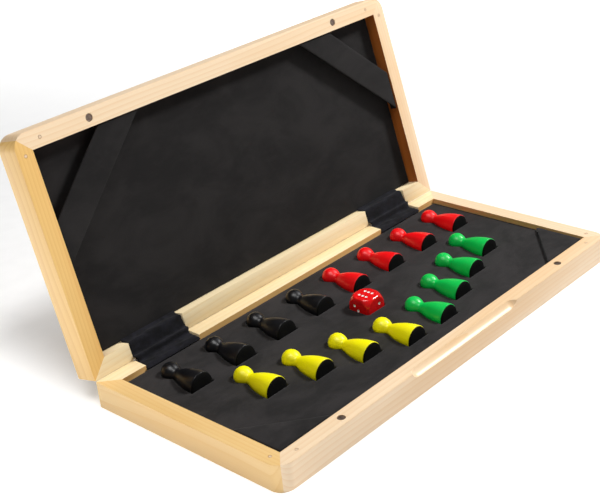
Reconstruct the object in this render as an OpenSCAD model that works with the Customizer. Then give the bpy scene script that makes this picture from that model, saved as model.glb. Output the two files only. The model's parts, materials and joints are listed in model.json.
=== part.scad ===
// Folding ludo board box: a two-leaf wooden case, 2:1 in plan, that opens at two let-in hinges.
// The lower half holds a suede-topped foam tray with sixteen pawns and one die lying in fitted
// recesses. The upper half has a suede liner and two corner straps for a folded playing board.
// Frame: origin at the middle of the underside, +X along the case, -Y to the front, +Z up.
// The case is drawn open, as it stands in use.

/* [Case] */
// Length of both halves
case_l = 350; // [330:1:400]
// Depth of both halves, front to hinge line
case_w = 164; // [160:1:200]
// Height of the lower half
base_h = 18.5; // [18:0.5:26]
// Height of the upper half
lid_h = 18.5; // [18:0.5:26]
// Thickness of the frame rails
rail_t = 12; // [11:0.5:14]
// Radius of the two front upright corners
corner_r = 10; // [4:0.5:11]
// Thickness of the bottom and top panels
panel_t = 4; // [3:0.5:5]
// How far a panel is let into the rails
rebate_w = 5; // [3:0.5:6]
// Gap between the two rims when the case is shut
seam_gap = 0.3; // [0.2:0.1:0.6]
// Angle between the halves in use
lid_open = 104; // [95:0.5:115]

/* [Finger scoop] */
// Length of the scoop, without its round ends
scoop_l = 100; // [60:1:140]
// Radius of the scoop
scoop_r = 8; // [6:0.5:10]
// How far the scoop's axis stands out from the front edge, forward and up
scoop_out = 3; // [2:0.5:5]

/* [Magnets and corner pins] */
// Diameter of a magnet
magnet_d = 5; // [4:0.5:6]
// Thickness of a magnet
magnet_t = 2; // [1.5:0.5:3]
// Depth of a magnet's face below the rim
magnet_sink = 0.4; // [0.2:0.1:1]
// Distance of each magnet from the middle of the front rail
magnet_x = 117; // [100:0.5:130]
// Distance of the magnets from the front edge
magnet_inset = 6; // [4.5:0.1:7]
// Diameter of the pins beside the front mitres
pin_d = 2; // [1.5:0.5:3]
// Length of those pins
pin_l = 10; // [8:1:12]
// Distance of a pin on the front rail from the side of the case
pin_front_inset = 19.5; // [17:0.5:30]
// Distance of a pin on a side rail from the front of the case
pin_side_inset = 14; // [14:0.5:30]

/* [Hinges] */
// Distance of each hinge from the middle of the case
hinge_x = 119.5; // [90:0.5:130]
// Width of the notch for a hinge
notch_w = 47; // [40:1:56]
// Depth of the notch below the rim
notch_d = 9.5; // [9:0.5:11]
// Thickness of a hinge leaf
leaf_t = 1.2; // [1:0.1:1.5]
// Outer diameter of the knuckles
knuckle_d = 4.4; // [4:0.2:5]
// Diameter of the hinge pin
hinge_pin_d = 2; // [1.6:0.1:2.4]
// Width of the middle knuckle
middle_knuckle_w = 17; // [12:1:24]
// Length of the lug that stops the lid
lug_l = 7; // [5:0.5:9]
// Diameter of a hinge screw
screw_d = 2; // [1.6:0.1:2.4]
// Length of a hinge screw under its head
screw_l = 5; // [4:0.5:5.5]
// Diameter of a screw head
screw_head_d = 4; // [3.5:0.1:5]
// Height of a screw head
screw_head_h = 0.8; // [0.6:0.1:1]
// Distance of each screw from the middle of its hinge
screw_x = 14; // [8:0.5:18]

/* [Tray and liner] */
// Depth of the tray's surface below the lower rim
tray_sink = 3.2; // [3:0.1:6]
// Depth of the liner's surface below the upper rim
liner_sink = 9; // [9:0.1:11]
// Thickness of the suede on the tray
suede_t = 0.8; // [0.5:0.1:1.5]
// Gap round the tray, liner and soft pieces
soft_gap = 0.2; // [0.1:0.05:0.4]
// Gap round a pawn or the die in its recess
recess_gap = 0.3; // [0.2:0.05:0.5]
// Depth of soft pieces below the rims
soft_sink = 0.5; // [0.4:0.1:1]
// Side of a corner pad along the front rail
pad_x = 48; // [30:0.5:60]
// Side of a corner pad along the side rail
pad_y = 42.5; // [30:0.5:55]

/* [Straps] */
// Where the strap's outer edge meets the front rail, from the inner corner
strap_x = 52; // [48:1:60]
// Where the strap's outer edge meets the side rail, from the inner corner
strap_y = 48; // [40:1:50]
// Width of the strap along the front rail
strap_wide_x = 33; // [20:1:36]
// Width of the strap along the side rail
strap_wide_y = 29; // [20:1:34]
// Thickness of a strap
strap_t = 1.6; // [1:0.1:2.5]
// Depth of a strap below the rim
strap_sink = 1; // [0.6:0.1:2]
// Depth of the tabs that hold a strap to the rails
strap_tab = 6; // [4:0.5:7]

/* [Pawns] */
// Diameter of a pawn's foot
pawn_d = 18; // [16:0.5:20]
// Distance from the foot to the middle of the head
pawn_head_at = 30; // [28:0.5:31]
// Diameter of a pawn's head
head_d = 13; // [12:0.5:16]
// Diameter of a pawn's neck
neck_d = 8; // [6:0.5:9]
// Distance from the foot to the neck
neck_at = 22.5; // [19:0.5:23]
// Thickness of the felt under a pawn's foot
felt_t = 0.8; // [0.5:0.1:1.2]
// Width of the painted rim left round the felt
felt_rim = 0.5; // [0.3:0.1:1]
// Height of a lying pawn's axis above the tray's surface
pawn_rise = 0.3; // [0:0.1:3.5]
// Spacing of the rear row
rear_pitch = 38.9; // [30:0.1:40]
// Distance of the rear row's heads behind the middle
rear_y = 54; // [52:0.5:56]
// Spacing of the front rows, along the case
front_pitch = 32.1; // [26:0.1:34]
// Distance of the front middle pawns from the middle, along the case
front_first_x = 17.2; // [12:0.1:20]
// Distance of the front middle heads in front of the middle
front_first_y = 24.6; // [23:0.1:28]
// Rise of the front rows towards the ends, for each unit along the case
front_slope = 0.36; // [0.2:0.01:0.4]

/* [Die] */
// Side of the die
die_a = 18; // [16:0.5:20]
// Height of the die above the tray's surface
die_rise = 9.2; // [9:0.1:12]
// Distance of the die behind the middle
die_y = 3.5; // [1:0.5:4]
// Radius of the ball that rounds the die's corners, for a side of one
die_round = 0.69; // [0.66:0.01:0.75]
// Distance between the pips' outer rows
pip_pitch = 6.2; // [5:0.1:7]
// Radius of the cutter for a pip
pip_r = 1.2; // [0.8:0.1:1.4]
// Depth of a pip
pip_deep = 0.6; // [0.4:0.1:0.8]

/* [Hidden] */
$fn = 64;
eps = 0.01;
fit = 0.05;                 // gap round pins, magnets and screws in their holes
pin_fit = 0.04;             // running gap of the hinge pin in the knuckles
leaf_side_gap = 0.5;        // gap between a leaf and each end of its notch
knuckle_gap = 0.3;          // gap between neighbouring knuckles, and round them
lug_gap = 0.1;              // gap between the stop lug and the leaf it meets
lug_t = 1.4;
lug_w = 8;
cover_back = 2.7;           // from the hinge line to a cover, clear of the knuckles
cover_lift = 0.3;           // gap between a cover and the hinge under it
lid_cover_reach = 1.5;      // how far the upper covers lie over the liner
base_cover_reach = 0.8;     // how far the lower covers lie over the tray
cover_edge_t = 0.8;
tab_t = 0.8;
row_n = 8;                  // pawns in the rear row
set_n = 4;                  // pawns of each colour

in_l = case_l - 2 * rail_t;
in_w = case_w - 2 * rail_t;
hinge_y = case_w / 2;
hinge_z = base_h + seam_gap / 2;
tray_z = base_h - tray_sink;
liner_z = lid_h - liner_sink;
leaf_w = notch_w - 2 * leaf_side_gap;
leaf_in = rail_t - 1;
screw_y = case_w / 2 - rail_t / 2 + 1;
axis_z = tray_z + pawn_rise;
bell_drop = (pawn_d - neck_d) / 2;
bell_r = (neck_at * neck_at + bell_drop * bell_drop) / (2 * bell_drop);
die_z = tray_z + die_rise - die_a / 2;

wood = [0.93, 0.80, 0.58];
suede = [0.20, 0.19, 0.20];
velvet = [0.10, 0.10, 0.14];
steel = [0.62, 0.62, 0.64];
felt = [0.05, 0.05, 0.05];
SETS = ["black", "red", "yellow", "green"];
PAINT = [[0.07, 0.07, 0.08], [0.86, 0.08, 0.10], [0.94, 0.88, 0.02], [0.05, 0.58, 0.28]];

function pawn_name(set, i) = str(SETS[set], "_pawn_", i + 1);
function felt_name(set, i) = str(SETS[set], "_pawn_felt_", i + 1);

// Middle of each head, seen from above: black then red fill the rear row from the left, and
// yellow then green fill the two front rows, which meet in a shallow V.
function rear_xy(k) = [(k - (row_n - 1) / 2) * rear_pitch, rear_y];
function front_x(k) = (k < set_n ? -1 : 1)
    * (front_first_x + (k < set_n ? set_n - 1 - k : k - set_n) * front_pitch);
function front_xy(k) = [front_x(k),
                        front_slope * (abs(front_x(k)) - front_first_x) - front_first_y];
function pawn_xy(set, i) = set < 2 ? rear_xy(set * set_n + i) : front_xy((set - 2) * set_n + i);

CASE_NODES = [
    "base_front_rail", "base_rear_rail", "base_left_rail", "base_right_rail", "base_panel",
    "tray_foam", "tray_suede", "corner_pads", "base_magnets", "base_corner_pins",
    "lid_front_rail", "lid_rear_rail", "lid_left_rail", "lid_right_rail", "lid_panel",
    "lid_liner", "corner_straps", "lid_magnets", "lid_corner_pins",
    "hinge_base_leaves", "hinge_lid_leaves", "hinge_pins",
    "hinge_base_screws", "hinge_lid_screws", "hinge_base_covers", "hinge_lid_covers", "die"
];

// ---- Placing ----

// Turns something drawn as a half with its rim upwards into the open upper half.
module as_lid() {
    translate([0, hinge_y, hinge_z])
        rotate([-lid_open, 0, 0])
            translate([0, -hinge_y, lid_h + seam_gap / 2])
                mirror([0, 0, 1])
                    children();
}

module at_hinges() {
    for (side = [-1, 1])
        translate([side * hinge_x, 0, 0])
            children();
}

module at_magnets(h) {
    for (side = [-1, 1])
        translate([side * magnet_x, magnet_inset - case_w / 2, h])
            children();
}

module at_corner_pins(h) {
    for (side = [-1, 1]) {
        translate([side * (case_l / 2 - pin_front_inset), (rail_t - case_w) / 2, h])
            children();
        translate([side * (case_l - rail_t) / 2, pin_side_inset - case_w / 2, h])
            children();
    }
}

module at_screws(h) {
    at_hinges()
        for (side = [-1, 1])
            translate([side * screw_x, screw_y, h - notch_d])
                children();
}

// ---- Frames and panels ----

// The front corners are round. The rear ones, where the halves meet at the hinges, are square.
module case_outline() {
    square([case_l - 2 * corner_r, case_w], center = true);
    translate([0, corner_r / 2])
        square([case_l, case_w - corner_r], center = true);
    for (x = [-1, 1])
        translate([x * (case_l / 2 - corner_r), corner_r - case_w / 2])
            circle(r = corner_r);
}

// A rail's plan between its two mitres. along is the case's size along the rail.
module mitred_plan(along, across) {
    polygon([
        [-along / 2, -across / 2],
        [along / 2, -across / 2],
        [along / 2 - rail_t, rail_t - across / 2],
        [rail_t - along / 2, rail_t - across / 2]
    ]);
}

module rail_plan(side) {
    if (side == "front") mitred_plan(case_l, case_w);
    if (side == "rear") rotate(180) mitred_plan(case_l, case_w);
    if (side == "left") rotate(-90) mitred_plan(case_w, case_l);
    if (side == "right") rotate(90) mitred_plan(case_w, case_l);
}

module scoop_cut() {
    translate([0, -case_w / 2 - scoop_out, base_h + scoop_out]) {
        rotate([0, 90, 0])
            cylinder(r = scoop_r, h = scoop_l, center = true);
        for (side = [-1, 1])
            translate([side * scoop_l / 2, 0, 0])
                sphere(r = scoop_r);
    }
}

module notch_cuts(h) {
    at_hinges()
        translate([-notch_w / 2, case_w / 2 - rail_t - eps, h - notch_d])
            cube([notch_w, rail_t + 2 * eps, notch_d + eps]);
}

// One rail of a half that is h high, with its rim upwards.
module rail(side, h) {
    difference() {
        linear_extrude(h)
            intersection() {
                case_outline();
                rail_plan(side);
            }
        translate([0, 0, panel_t / 2 - eps])
            cube([in_l + 2 * rebate_w, in_w + 2 * rebate_w, panel_t + 2 * eps], center = true);
        if (side == "rear") {
            notch_cuts(h);
            at_screws(h)
                translate([0, 0, -screw_l - fit])
                    cylinder(d = screw_d + 2 * fit, h = screw_l + 1);
        }
        if (side == "front")
            at_magnets(h)
                translate([0, 0, -magnet_sink - magnet_t])
                    cylinder(d = magnet_d + 2 * fit, h = magnet_sink + magnet_t + 1);
        if (side != "rear")
            at_corner_pins(h)
                translate([0, 0, -pin_l])
                    cylinder(d = pin_d + 2 * fit, h = pin_l + 1);
    }
}

module base_front_rail() {
    color(wood)
        difference() {
            rail("front", base_h);
            scoop_cut();
        }
}

module base_rear_rail() { color(wood) rail("rear", base_h); }
module base_left_rail() { color(wood) rail("left", base_h); }
module base_right_rail() { color(wood) rail("right", base_h); }
module lid_front_rail() { color(wood) as_lid() rail("front", lid_h); }
module lid_rear_rail() { color(wood) as_lid() rail("rear", lid_h); }
module lid_left_rail() { color(wood) as_lid() rail("left", lid_h); }
module lid_right_rail() { color(wood) as_lid() rail("right", lid_h); }

module panel() {
    translate([0, 0, panel_t / 2])
        cube([in_l + 2 * (rebate_w - fit), in_w + 2 * (rebate_w - fit), panel_t], center = true);
}

module base_panel() { color(wood) panel(); }
module lid_panel() { color(wood) as_lid() panel(); }

// ---- Magnets and corner pins ----

module magnet() {
    translate([0, 0, -magnet_sink - magnet_t])
        cylinder(d = magnet_d, h = magnet_t);
}

module corner_pin() {
    translate([0, 0, -pin_l])
        cylinder(d = pin_d, h = pin_l);
}

module base_magnets() { color(steel) at_magnets(base_h) magnet(); }
module lid_magnets() { color(steel) as_lid() at_magnets(lid_h) magnet(); }
module base_corner_pins() { color("sienna") at_corner_pins(base_h) corner_pin(); }
module lid_corner_pins() { color("sienna") as_lid() at_corner_pins(lid_h) corner_pin(); }

// ---- Hinges ----

// Draws its children along the hinge line of a half that is h high.
module on_hinge_line(h) {
    translate([0, case_w / 2, h + seam_gap / 2])
        rotate([0, 90, 0])
            children();
}

module end_knuckles(d, gap) {
    long = (leaf_w - middle_knuckle_w) / 2 - gap;
    for (side = [-1, 1])
        translate([0, 0, side * (leaf_w - long) / 2])
            cylinder(d = d, h = long, center = true);
}

module middle_knuckle(d, gap) {
    cylinder(d = d, h = middle_knuckle_w + 2 * gap, center = true);
}

// A leaf lies on the floor of its notch, stands up along the rear face and ends in knuckles.
module leaf(h, middle) {
    floor_z = h - notch_d;
    difference() {
        union() {
            translate([-leaf_w / 2, case_w / 2 - leaf_in, floor_z])
                cube([leaf_w, leaf_in, leaf_t]);
            translate([-leaf_w / 2, case_w / 2 - leaf_t, floor_z])
                cube([leaf_w, leaf_t, notch_d]);
            on_hinge_line(h)
                if (middle) middle_knuckle(knuckle_d, 0);
                else end_knuckles(knuckle_d, knuckle_gap);
        }
        on_hinge_line(h) {
            cylinder(d = hinge_pin_d + 2 * pin_fit, h = leaf_w + 1, center = true);
            if (middle) end_clearance();
            else middle_knuckle(knuckle_d + 2 * knuckle_gap, knuckle_gap);
        }
        for (side = [-1, 1])
            translate([side * screw_x, screw_y, floor_z - 1])
                cylinder(d = screw_d + 2 * fit, h = leaf_t + 2);
    }
}

// Room for the end knuckles of the other leaf.
module end_clearance() {
    long = (leaf_w - middle_knuckle_w) / 2 + 1;
    for (side = [-1, 1])
        translate([0, 0, side * (middle_knuckle_w + long) / 2])
            cylinder(d = knuckle_d + 2 * knuckle_gap, h = long, center = true);
}

// The lug hangs behind the lower leaf when the case is open, and holds the lid there.
module stop_lug() {
    translate([-lug_w / 2, hinge_y + lug_gap, hinge_z - lug_l])
        cube([lug_w, lug_t, lug_l - hinge_pin_d]);
}

module hinge_base_leaves() { color(steel) at_hinges() leaf(base_h, false); }

module hinge_lid_leaves() {
    color(steel)
        at_hinges() {
            as_lid() leaf(lid_h, true);
            stop_lug();
        }
}

module hinge_pins() {
    color(steel)
        at_hinges()
            on_hinge_line(base_h)
                cylinder(d = hinge_pin_d, h = leaf_w, center = true);
}

module screw() {
    translate([0, 0, -screw_l])
        cylinder(d = screw_d, h = screw_l + leaf_t + eps);
    translate([0, 0, leaf_t])
        cylinder(d = screw_head_d, h = screw_head_h);
}

module hinge_base_screws() { color(steel) at_screws(base_h) screw(); }
module hinge_lid_screws() { color(steel) as_lid() at_screws(lid_h) screw(); }

// A padded cover over one hinge leaf. reach is how far its skirt runs out over the lining, whose
// surface is at lining_z.
module cover(h, lining_z, reach) {
    under = h - notch_d + leaf_t + screw_head_h + cover_lift;
    top = h - soft_sink;
    back = case_w / 2 - cover_back;
    face = case_w / 2 - rail_t;
    skirt = lining_z + soft_gap;
    w = notch_w - 2 * soft_gap;
    translate([-w / 2, 0, 0])
        rotate([90, 0, 90])
            linear_extrude(w)
                polygon(concat(
                    [
                        [back, under],
                        [back, top],
                        [face, top],
                        [face - reach, skirt + cover_edge_t],
                        [face - reach, skirt],
                        [face - soft_gap, skirt]
                    ],
                    under > skirt ? [[face - soft_gap, under]] : []
                ));
}

module hinge_base_covers() {
    color(velvet)
        at_hinges()
            cover(base_h, tray_z, base_cover_reach);
}

module hinge_lid_covers() {
    color(velvet)
        as_lid()
            at_hinges()
                cover(lid_h, liner_z, lid_cover_reach);
}

// ---- Tray, pads, liner and straps ----

// Everything that lies in a recess, larger by grow all round.
module recessed_pieces(grow) {
    for (set = [0:3])
        for (i = [0:set_n - 1])
            at_pawn(set, i)
                pawn_body(grow);
    translate([0, die_y, die_z])
        cube(die_a + 2 * grow, center = true);
}

module tray_slab(low, high) {
    difference() {
        translate([soft_gap - in_l / 2, soft_gap - in_w / 2, low])
            cube([in_l - 2 * soft_gap, in_w - 2 * soft_gap, high - low]);
        recessed_pieces(recess_gap);
    }
}

module tray_foam() { color([0.12, 0.12, 0.12]) tray_slab(panel_t, tray_z - suede_t); }
module tray_suede() { color(suede) tray_slab(tray_z - suede_t, tray_z); }

module corner_pads() {
    color(suede)
        for (side = [-1, 1])
            translate([side * (in_l / 2 - soft_gap), soft_gap - in_w / 2, tray_z])
                linear_extrude(tray_sink - soft_sink)
                    polygon([[0, 0], [-side * pad_x, 0], [0, pad_y]]);
}

module lid_liner() {
    color(suede)
        as_lid()
            translate([soft_gap - in_l / 2, soft_gap - in_w / 2, panel_t])
                cube([in_l - 2 * soft_gap, in_w - 2 * soft_gap, liner_z - panel_t]);
}

// A strap across one front corner, with a tab down each rail.
module strap(side) {
    top = lid_h - strap_sink;
    translate([side * (in_l / 2 - fit), fit - in_w / 2, 0]) {
        translate([0, 0, top - strap_t])
            linear_extrude(strap_t)
                polygon([
                    [-side * strap_x, 0],
                    [-side * (strap_x + strap_wide_x), 0],
                    [0, strap_y + strap_wide_y],
                    [0, strap_y]
                ]);
        translate([-side * (strap_x + strap_wide_x / 2), tab_t / 2, top - strap_tab / 2])
            cube([strap_wide_x, tab_t, strap_tab], center = true);
        translate([-side * tab_t / 2, strap_y + strap_wide_y / 2, top - strap_tab / 2])
            cube([tab_t, strap_wide_y, strap_tab], center = true);
    }
}

module corner_straps() {
    color(suede)
        as_lid()
            for (side = [-1, 1])
                strap(side);
}

// ---- Pawns ----

// Lays a pawn that is drawn standing at the origin on its side, its head to the rear.
module at_pawn(set, i) {
    translate([pawn_xy(set, i)[0], pawn_xy(set, i)[1] - pawn_head_at, axis_z])
        rotate([-90, 0, 0])
            children();
}

// The standing pawn: a bell from the foot to the neck, and a ball for a head.
module pawn_body(grow) {
    rotate_extrude()
        intersection() {
            translate([pawn_d / 2 - bell_r, 0])
                circle(r = bell_r + grow, $fn = 180);
            translate([0, -grow])
                square([pawn_d / 2 + grow, neck_at + grow]);
        }
    cylinder(d = neck_d + 2 * grow, h = pawn_head_at);
    translate([0, 0, pawn_head_at])
        sphere(d = head_d + 2 * grow);
}

module pawn(set, i) {
    color(PAINT[set])
        at_pawn(set, i)
            intersection() {
                pawn_body(0);
                translate([0, 0, felt_t])
                    cylinder(d = pawn_d + 1, h = pawn_head_at + head_d);
            }
}

module pawn_felt(set, i) {
    color(felt)
        at_pawn(set, i)
            cylinder(d = pawn_d - 2 * felt_rim, h = felt_t);
}

// ---- Die ----

// Where the pips of one face stand, in units of half the pip pitch.
function pips(n) = concat(
    n % 2 == 1 ? [[0, 0]] : [],
    n > 1 ? [[1, 1], [-1, -1]] : [],
    n > 3 ? [[1, -1], [-1, 1]] : [],
    n == 6 ? [[1, 0], [-1, 0]] : []);

module pip_cuts(n) {
    for (p = pips(n))
        translate([p[0] * pip_pitch / 2, p[1] * pip_pitch / 2, die_a / 2 + pip_r - pip_deep])
            sphere(r = pip_r, $fn = 32);
}

module die() {
    color(PAINT[1])
        translate([0, die_y, die_z])
            difference() {
                intersection() {
                    cube(die_a, center = true);
                    sphere(r = die_round * die_a);
                }
                pip_cuts(6);
                rotate([180, 0, 0]) pip_cuts(1);
                rotate([90, 0, 0]) pip_cuts(2);
                rotate([-90, 0, 0]) pip_cuts(5);
                rotate([0, -90, 0]) pip_cuts(3);
                rotate([0, 90, 0]) pip_cuts(4);
            }
}

// ---- What is drawn ----

base_front_rail();
base_rear_rail();
base_left_rail();
base_right_rail();
base_panel();
tray_foam();
tray_suede();
corner_pads();
base_magnets();
base_corner_pins();
lid_front_rail();
lid_rear_rail();
lid_left_rail();
lid_right_rail();
lid_panel();
lid_liner();
corner_straps();
lid_magnets();
lid_corner_pins();
hinge_base_leaves();
hinge_lid_leaves();
hinge_pins();
hinge_base_screws();
hinge_lid_screws();
hinge_base_covers();
hinge_lid_covers();
die();
for (set = [0:3])
    for (i = [0:set_n - 1]) {
        pawn(set, i);
        pawn_felt(set, i);
    }
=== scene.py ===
"""Dresses the folding ludo board box in wood, suede, velvet and lacquer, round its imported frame.

Every length is in metres. Pieces are built in the frame's own axes: +X along the case, -Y to the
front and +Z up, with the origin at the middle of the underside. The two halves are drawn alike, with
their rims upwards, and the upper one is then turned into its open place.
"""

import json
import logging
import math
from dataclasses import dataclass, field
from enum import Enum
from typing import Callable, Iterable, Protocol, Sequence

import bmesh
import bpy
from mathutils import Matrix, Vector, noise
from mathutils.geometry import delaunay_2d_cdt


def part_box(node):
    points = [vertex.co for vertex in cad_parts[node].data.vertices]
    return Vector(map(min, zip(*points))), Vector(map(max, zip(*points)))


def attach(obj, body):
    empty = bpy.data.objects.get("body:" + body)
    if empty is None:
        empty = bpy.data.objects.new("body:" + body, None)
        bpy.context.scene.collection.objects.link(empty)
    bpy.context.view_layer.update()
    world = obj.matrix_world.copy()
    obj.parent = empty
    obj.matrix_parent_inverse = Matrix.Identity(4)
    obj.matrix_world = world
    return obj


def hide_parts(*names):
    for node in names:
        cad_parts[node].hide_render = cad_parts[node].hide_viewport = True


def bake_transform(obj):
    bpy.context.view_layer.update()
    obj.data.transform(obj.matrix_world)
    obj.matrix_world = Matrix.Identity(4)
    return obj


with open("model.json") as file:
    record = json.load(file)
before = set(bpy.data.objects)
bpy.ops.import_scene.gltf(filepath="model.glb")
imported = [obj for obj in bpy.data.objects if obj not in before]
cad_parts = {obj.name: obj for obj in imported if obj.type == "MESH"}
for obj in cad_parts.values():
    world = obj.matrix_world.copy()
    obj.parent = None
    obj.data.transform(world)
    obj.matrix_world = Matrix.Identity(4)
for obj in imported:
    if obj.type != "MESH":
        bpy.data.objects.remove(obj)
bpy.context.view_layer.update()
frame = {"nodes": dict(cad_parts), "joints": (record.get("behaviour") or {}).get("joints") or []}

LOG = logging.getLogger("ludo_box")
MM = 0.001
NEAR = 0.01 * MM
CLEAR = 0.1 * MM
ONE_POINT = 1e-7
NO_TURN = Matrix.Identity(4)
STOCK = "stock"
HINGE = next(joint for joint in frame["joints"] if joint["name"] == "lid_hinge")
PIN = Vector(HINGE["pos_m"])

Point = tuple[float, float]
Triple = tuple[float, float, float]
Mesh = bmesh.types.BMesh
Object = bpy.types.Object
Material = bpy.types.Material
Socket = bpy.types.NodeSocket
Height = Callable[[float, float], float]

# How a soft surface rolls over an edge: distances from the edge, and the drop at each.
SUEDE_ROLL: tuple[Point, ...] = (
    (1.7 * MM, 0.0),
    (1.1 * MM, 0.07 * MM),
    (0.65 * MM, 0.24 * MM),
    (0.3 * MM, 0.52 * MM),
    (0.08 * MM, 0.95 * MM),
    (0.0, 1.5 * MM),
)
PAD_ROLL: tuple[Point, ...] = (
    (1.1 * MM, 0.0),
    (0.65 * MM, 0.12 * MM),
    (0.3 * MM, 0.35 * MM),
    (0.08 * MM, 0.75 * MM),
    (0.0, 1.3 * MM),
)


class Side(Enum):
    """A side of the case, and the turn that brings a front rail there, in degrees."""

    FRONT = 0
    REAR = 180
    LEFT = -90
    RIGHT = 90


class PawnColour(Enum):
    """A set of four pawns."""

    BLACK = "black"
    RED = "red"
    YELLOW = "yellow"
    GREEN = "green"


# ---- Sizes ----


def box_size(node: str) -> Vector:
    """Returns how long a CAD node is along each axis."""
    low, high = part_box(node)
    return high - low


def box_middle(node: str) -> Vector:
    """Returns the middle of a CAD node's box."""
    low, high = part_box(node)
    return (low + high) / 2


@dataclass(frozen=True)
class CaseSizes:
    """Sizes that several sub-assemblies share, read from the frame where a node shows them."""

    length: float = 2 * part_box("base_right_rail")[1].x
    depth: float = 2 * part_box("base_rear_rail")[1].y
    height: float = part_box("base_front_rail")[1].z
    rail: float = box_size("base_front_rail").y
    panel: float = box_size("base_panel").z
    panel_length: float = box_size("base_panel").x
    panel_depth: float = box_size("base_panel").y
    tray_top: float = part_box("tray_suede")[1].z
    corner: float = 10 * MM
    notch_width: float = 47 * MM
    notch_depth: float = 9.5 * MM
    hinge_x: float = 119.5 * MM
    liner_top: float = 9.5 * MM
    soft_gap: float = 0.2 * MM
    soft_sink: float = 0.5 * MM

    @property
    def inner_length(self) -> float:
        """Length between the side rails."""
        return self.length - 2 * self.rail

    @property
    def inner_depth(self) -> float:
        """Depth between the front and rear rails."""
        return self.depth - 2 * self.rail

    @property
    def rear_face(self) -> float:
        """Where the rear rail's inner face is, along Y."""
        return self.depth / 2 - self.rail

    @property
    def soft_top(self) -> float:
        """Height that pads and covers reach, just below the rim."""
        return self.height - self.soft_sink


@dataclass(frozen=True)
class Half:
    """One half of the case: the body it rides on, and the turn to its open place."""

    body: str
    place: Matrix

    def node(self, name: str) -> str:
        """Returns the CAD node's name for one of this half's pieces."""
        return f"{self.body}_{name}"


def open_halves() -> tuple[Half, Half]:
    """Works out where the two halves stand, from the hinge joint.

    Returns:
        The lower half and the upper half.
    """
    shut = Matrix.Translation((0, -PIN.y, PIN.z)) @ Matrix.Diagonal((1, 1, -1, 1))
    opening = Matrix.Rotation(math.radians(min(HINGE["range_deg"])), 4, "X")
    return Half("base", NO_TURN), Half("lid", Matrix.Translation(PIN) @ opening @ shut)


# ---- Mesh work ----


def configure(target: object, **settings: object) -> None:
    """Sets several properties of something in Blender."""
    for name, value in settings.items():
        setattr(target, name, value)


def placed(name: str, data: bpy.types.ID, matrix: Matrix = NO_TURN) -> Object:
    """Makes an object in the scene.

    Args:
        name: The object's name.
        data: Its mesh, lens or lamp.
        matrix: Where it stands.

    Returns:
        The new object.
    """
    made = bpy.data.objects.new(name, data)
    made.matrix_world = matrix
    bpy.context.scene.collection.objects.link(made)
    return made


def object_from(bm: Mesh, name: str) -> Object:
    """Turns a mesh into an object in the scene.

    Args:
        bm: The mesh, which is freed.
        name: The object's name.

    Returns:
        The new object.
    """
    mesh = bpy.data.meshes.new(name)
    bm.to_mesh(mesh)
    bm.free()
    return placed(name, mesh)


def with_modifiers(bm: Mesh, *modifiers: tuple[str, dict[str, object]]) -> Mesh:
    """Runs modifiers on a mesh.

    Args:
        bm: The mesh, which is freed.
        *modifiers: The type and the settings of each.

    Returns:
        The mesh that comes out.
    """
    work = object_from(bm, "work")
    for kind, settings in modifiers:
        configure(work.modifiers.new(kind, kind), **settings)
    result = bmesh.new()
    result.from_mesh(work.evaluated_get(bpy.context.evaluated_depsgraph_get()).to_mesh())
    mesh = work.data
    bpy.data.objects.remove(work)
    bpy.data.meshes.remove(mesh)
    return result


def joined(parts: Iterable[Mesh]) -> Mesh:
    """Puts meshes that stand apart into one.

    Args:
        parts: The meshes, which are freed.

    Returns:
        The one mesh.
    """
    whole = bmesh.new()
    for part in parts:
        mesh = bpy.data.meshes.new("part")
        part.to_mesh(mesh)
        part.free()
        whole.from_mesh(mesh)
        bpy.data.meshes.remove(mesh)
    return whole


def cut_from(bm: Mesh, cutters: Iterable[Mesh]) -> Mesh:
    """Cuts closed meshes that stand apart out of a closed mesh.

    Args:
        bm: The mesh that is cut.
        cutters: What is taken away.

    Returns:
        The mesh with the cuts.
    """
    tool = object_from(joined(cutters), "cutter")
    cut = {"operation": "DIFFERENCE", "solver": "EXACT", "object": tool}
    result = with_modifiers(bm, ("BOOLEAN", cut))
    bpy.data.objects.remove(tool)
    return result


def thickened(bm: Mesh, thickness: float, edge: float = 0) -> Mesh:
    """Gives a sheet its thickness, below its own surface, and rounds its rim.

    Args:
        bm: The sheet.
        thickness: How thick it becomes.
        edge: How far the rim's rounding reaches, if it has one.

    Returns:
        The closed sheet.
    """
    steps = [("SOLIDIFY", {"thickness": thickness, "offset": -1})]
    if edge:
        sharp = {"limit_method": "ANGLE", "angle_limit": math.radians(50)}
        steps.append(("BEVEL", {"width": edge, "segments": 2, **sharp}))
    return with_modifiers(bm, *steps)


def block(low: Sequence[float], high: Sequence[float]) -> Mesh:
    """Builds a closed box between its lowest and its highest corner."""
    (x, y, bottom), (far_x, far_y, top) = low, high
    return prism([(x, y), (far_x, y), (far_x, far_y), (x, far_y)], bottom, top)


def prism(outline: Sequence[Point], low: float, high: float) -> Mesh:
    """Builds a closed upright solid on an outline.

    Args:
        outline: The plan, anticlockwise.
        low: Height of its bottom.
        high: Height of its top.

    Returns:
        The solid.
    """
    bm = bmesh.new()
    floor = [bm.verts.new((x, y, low)) for x, y in outline]
    roof = [bm.verts.new((x, y, high)) for x, y in outline]
    bm.faces.new(reversed(floor))
    bm.faces.new(roof)
    for i, corner in enumerate(floor):
        following = (i + 1) % len(floor)
        bm.faces.new((corner, floor[following], roof[following], roof[i]))
    bm.normal_update()
    return bm


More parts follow.
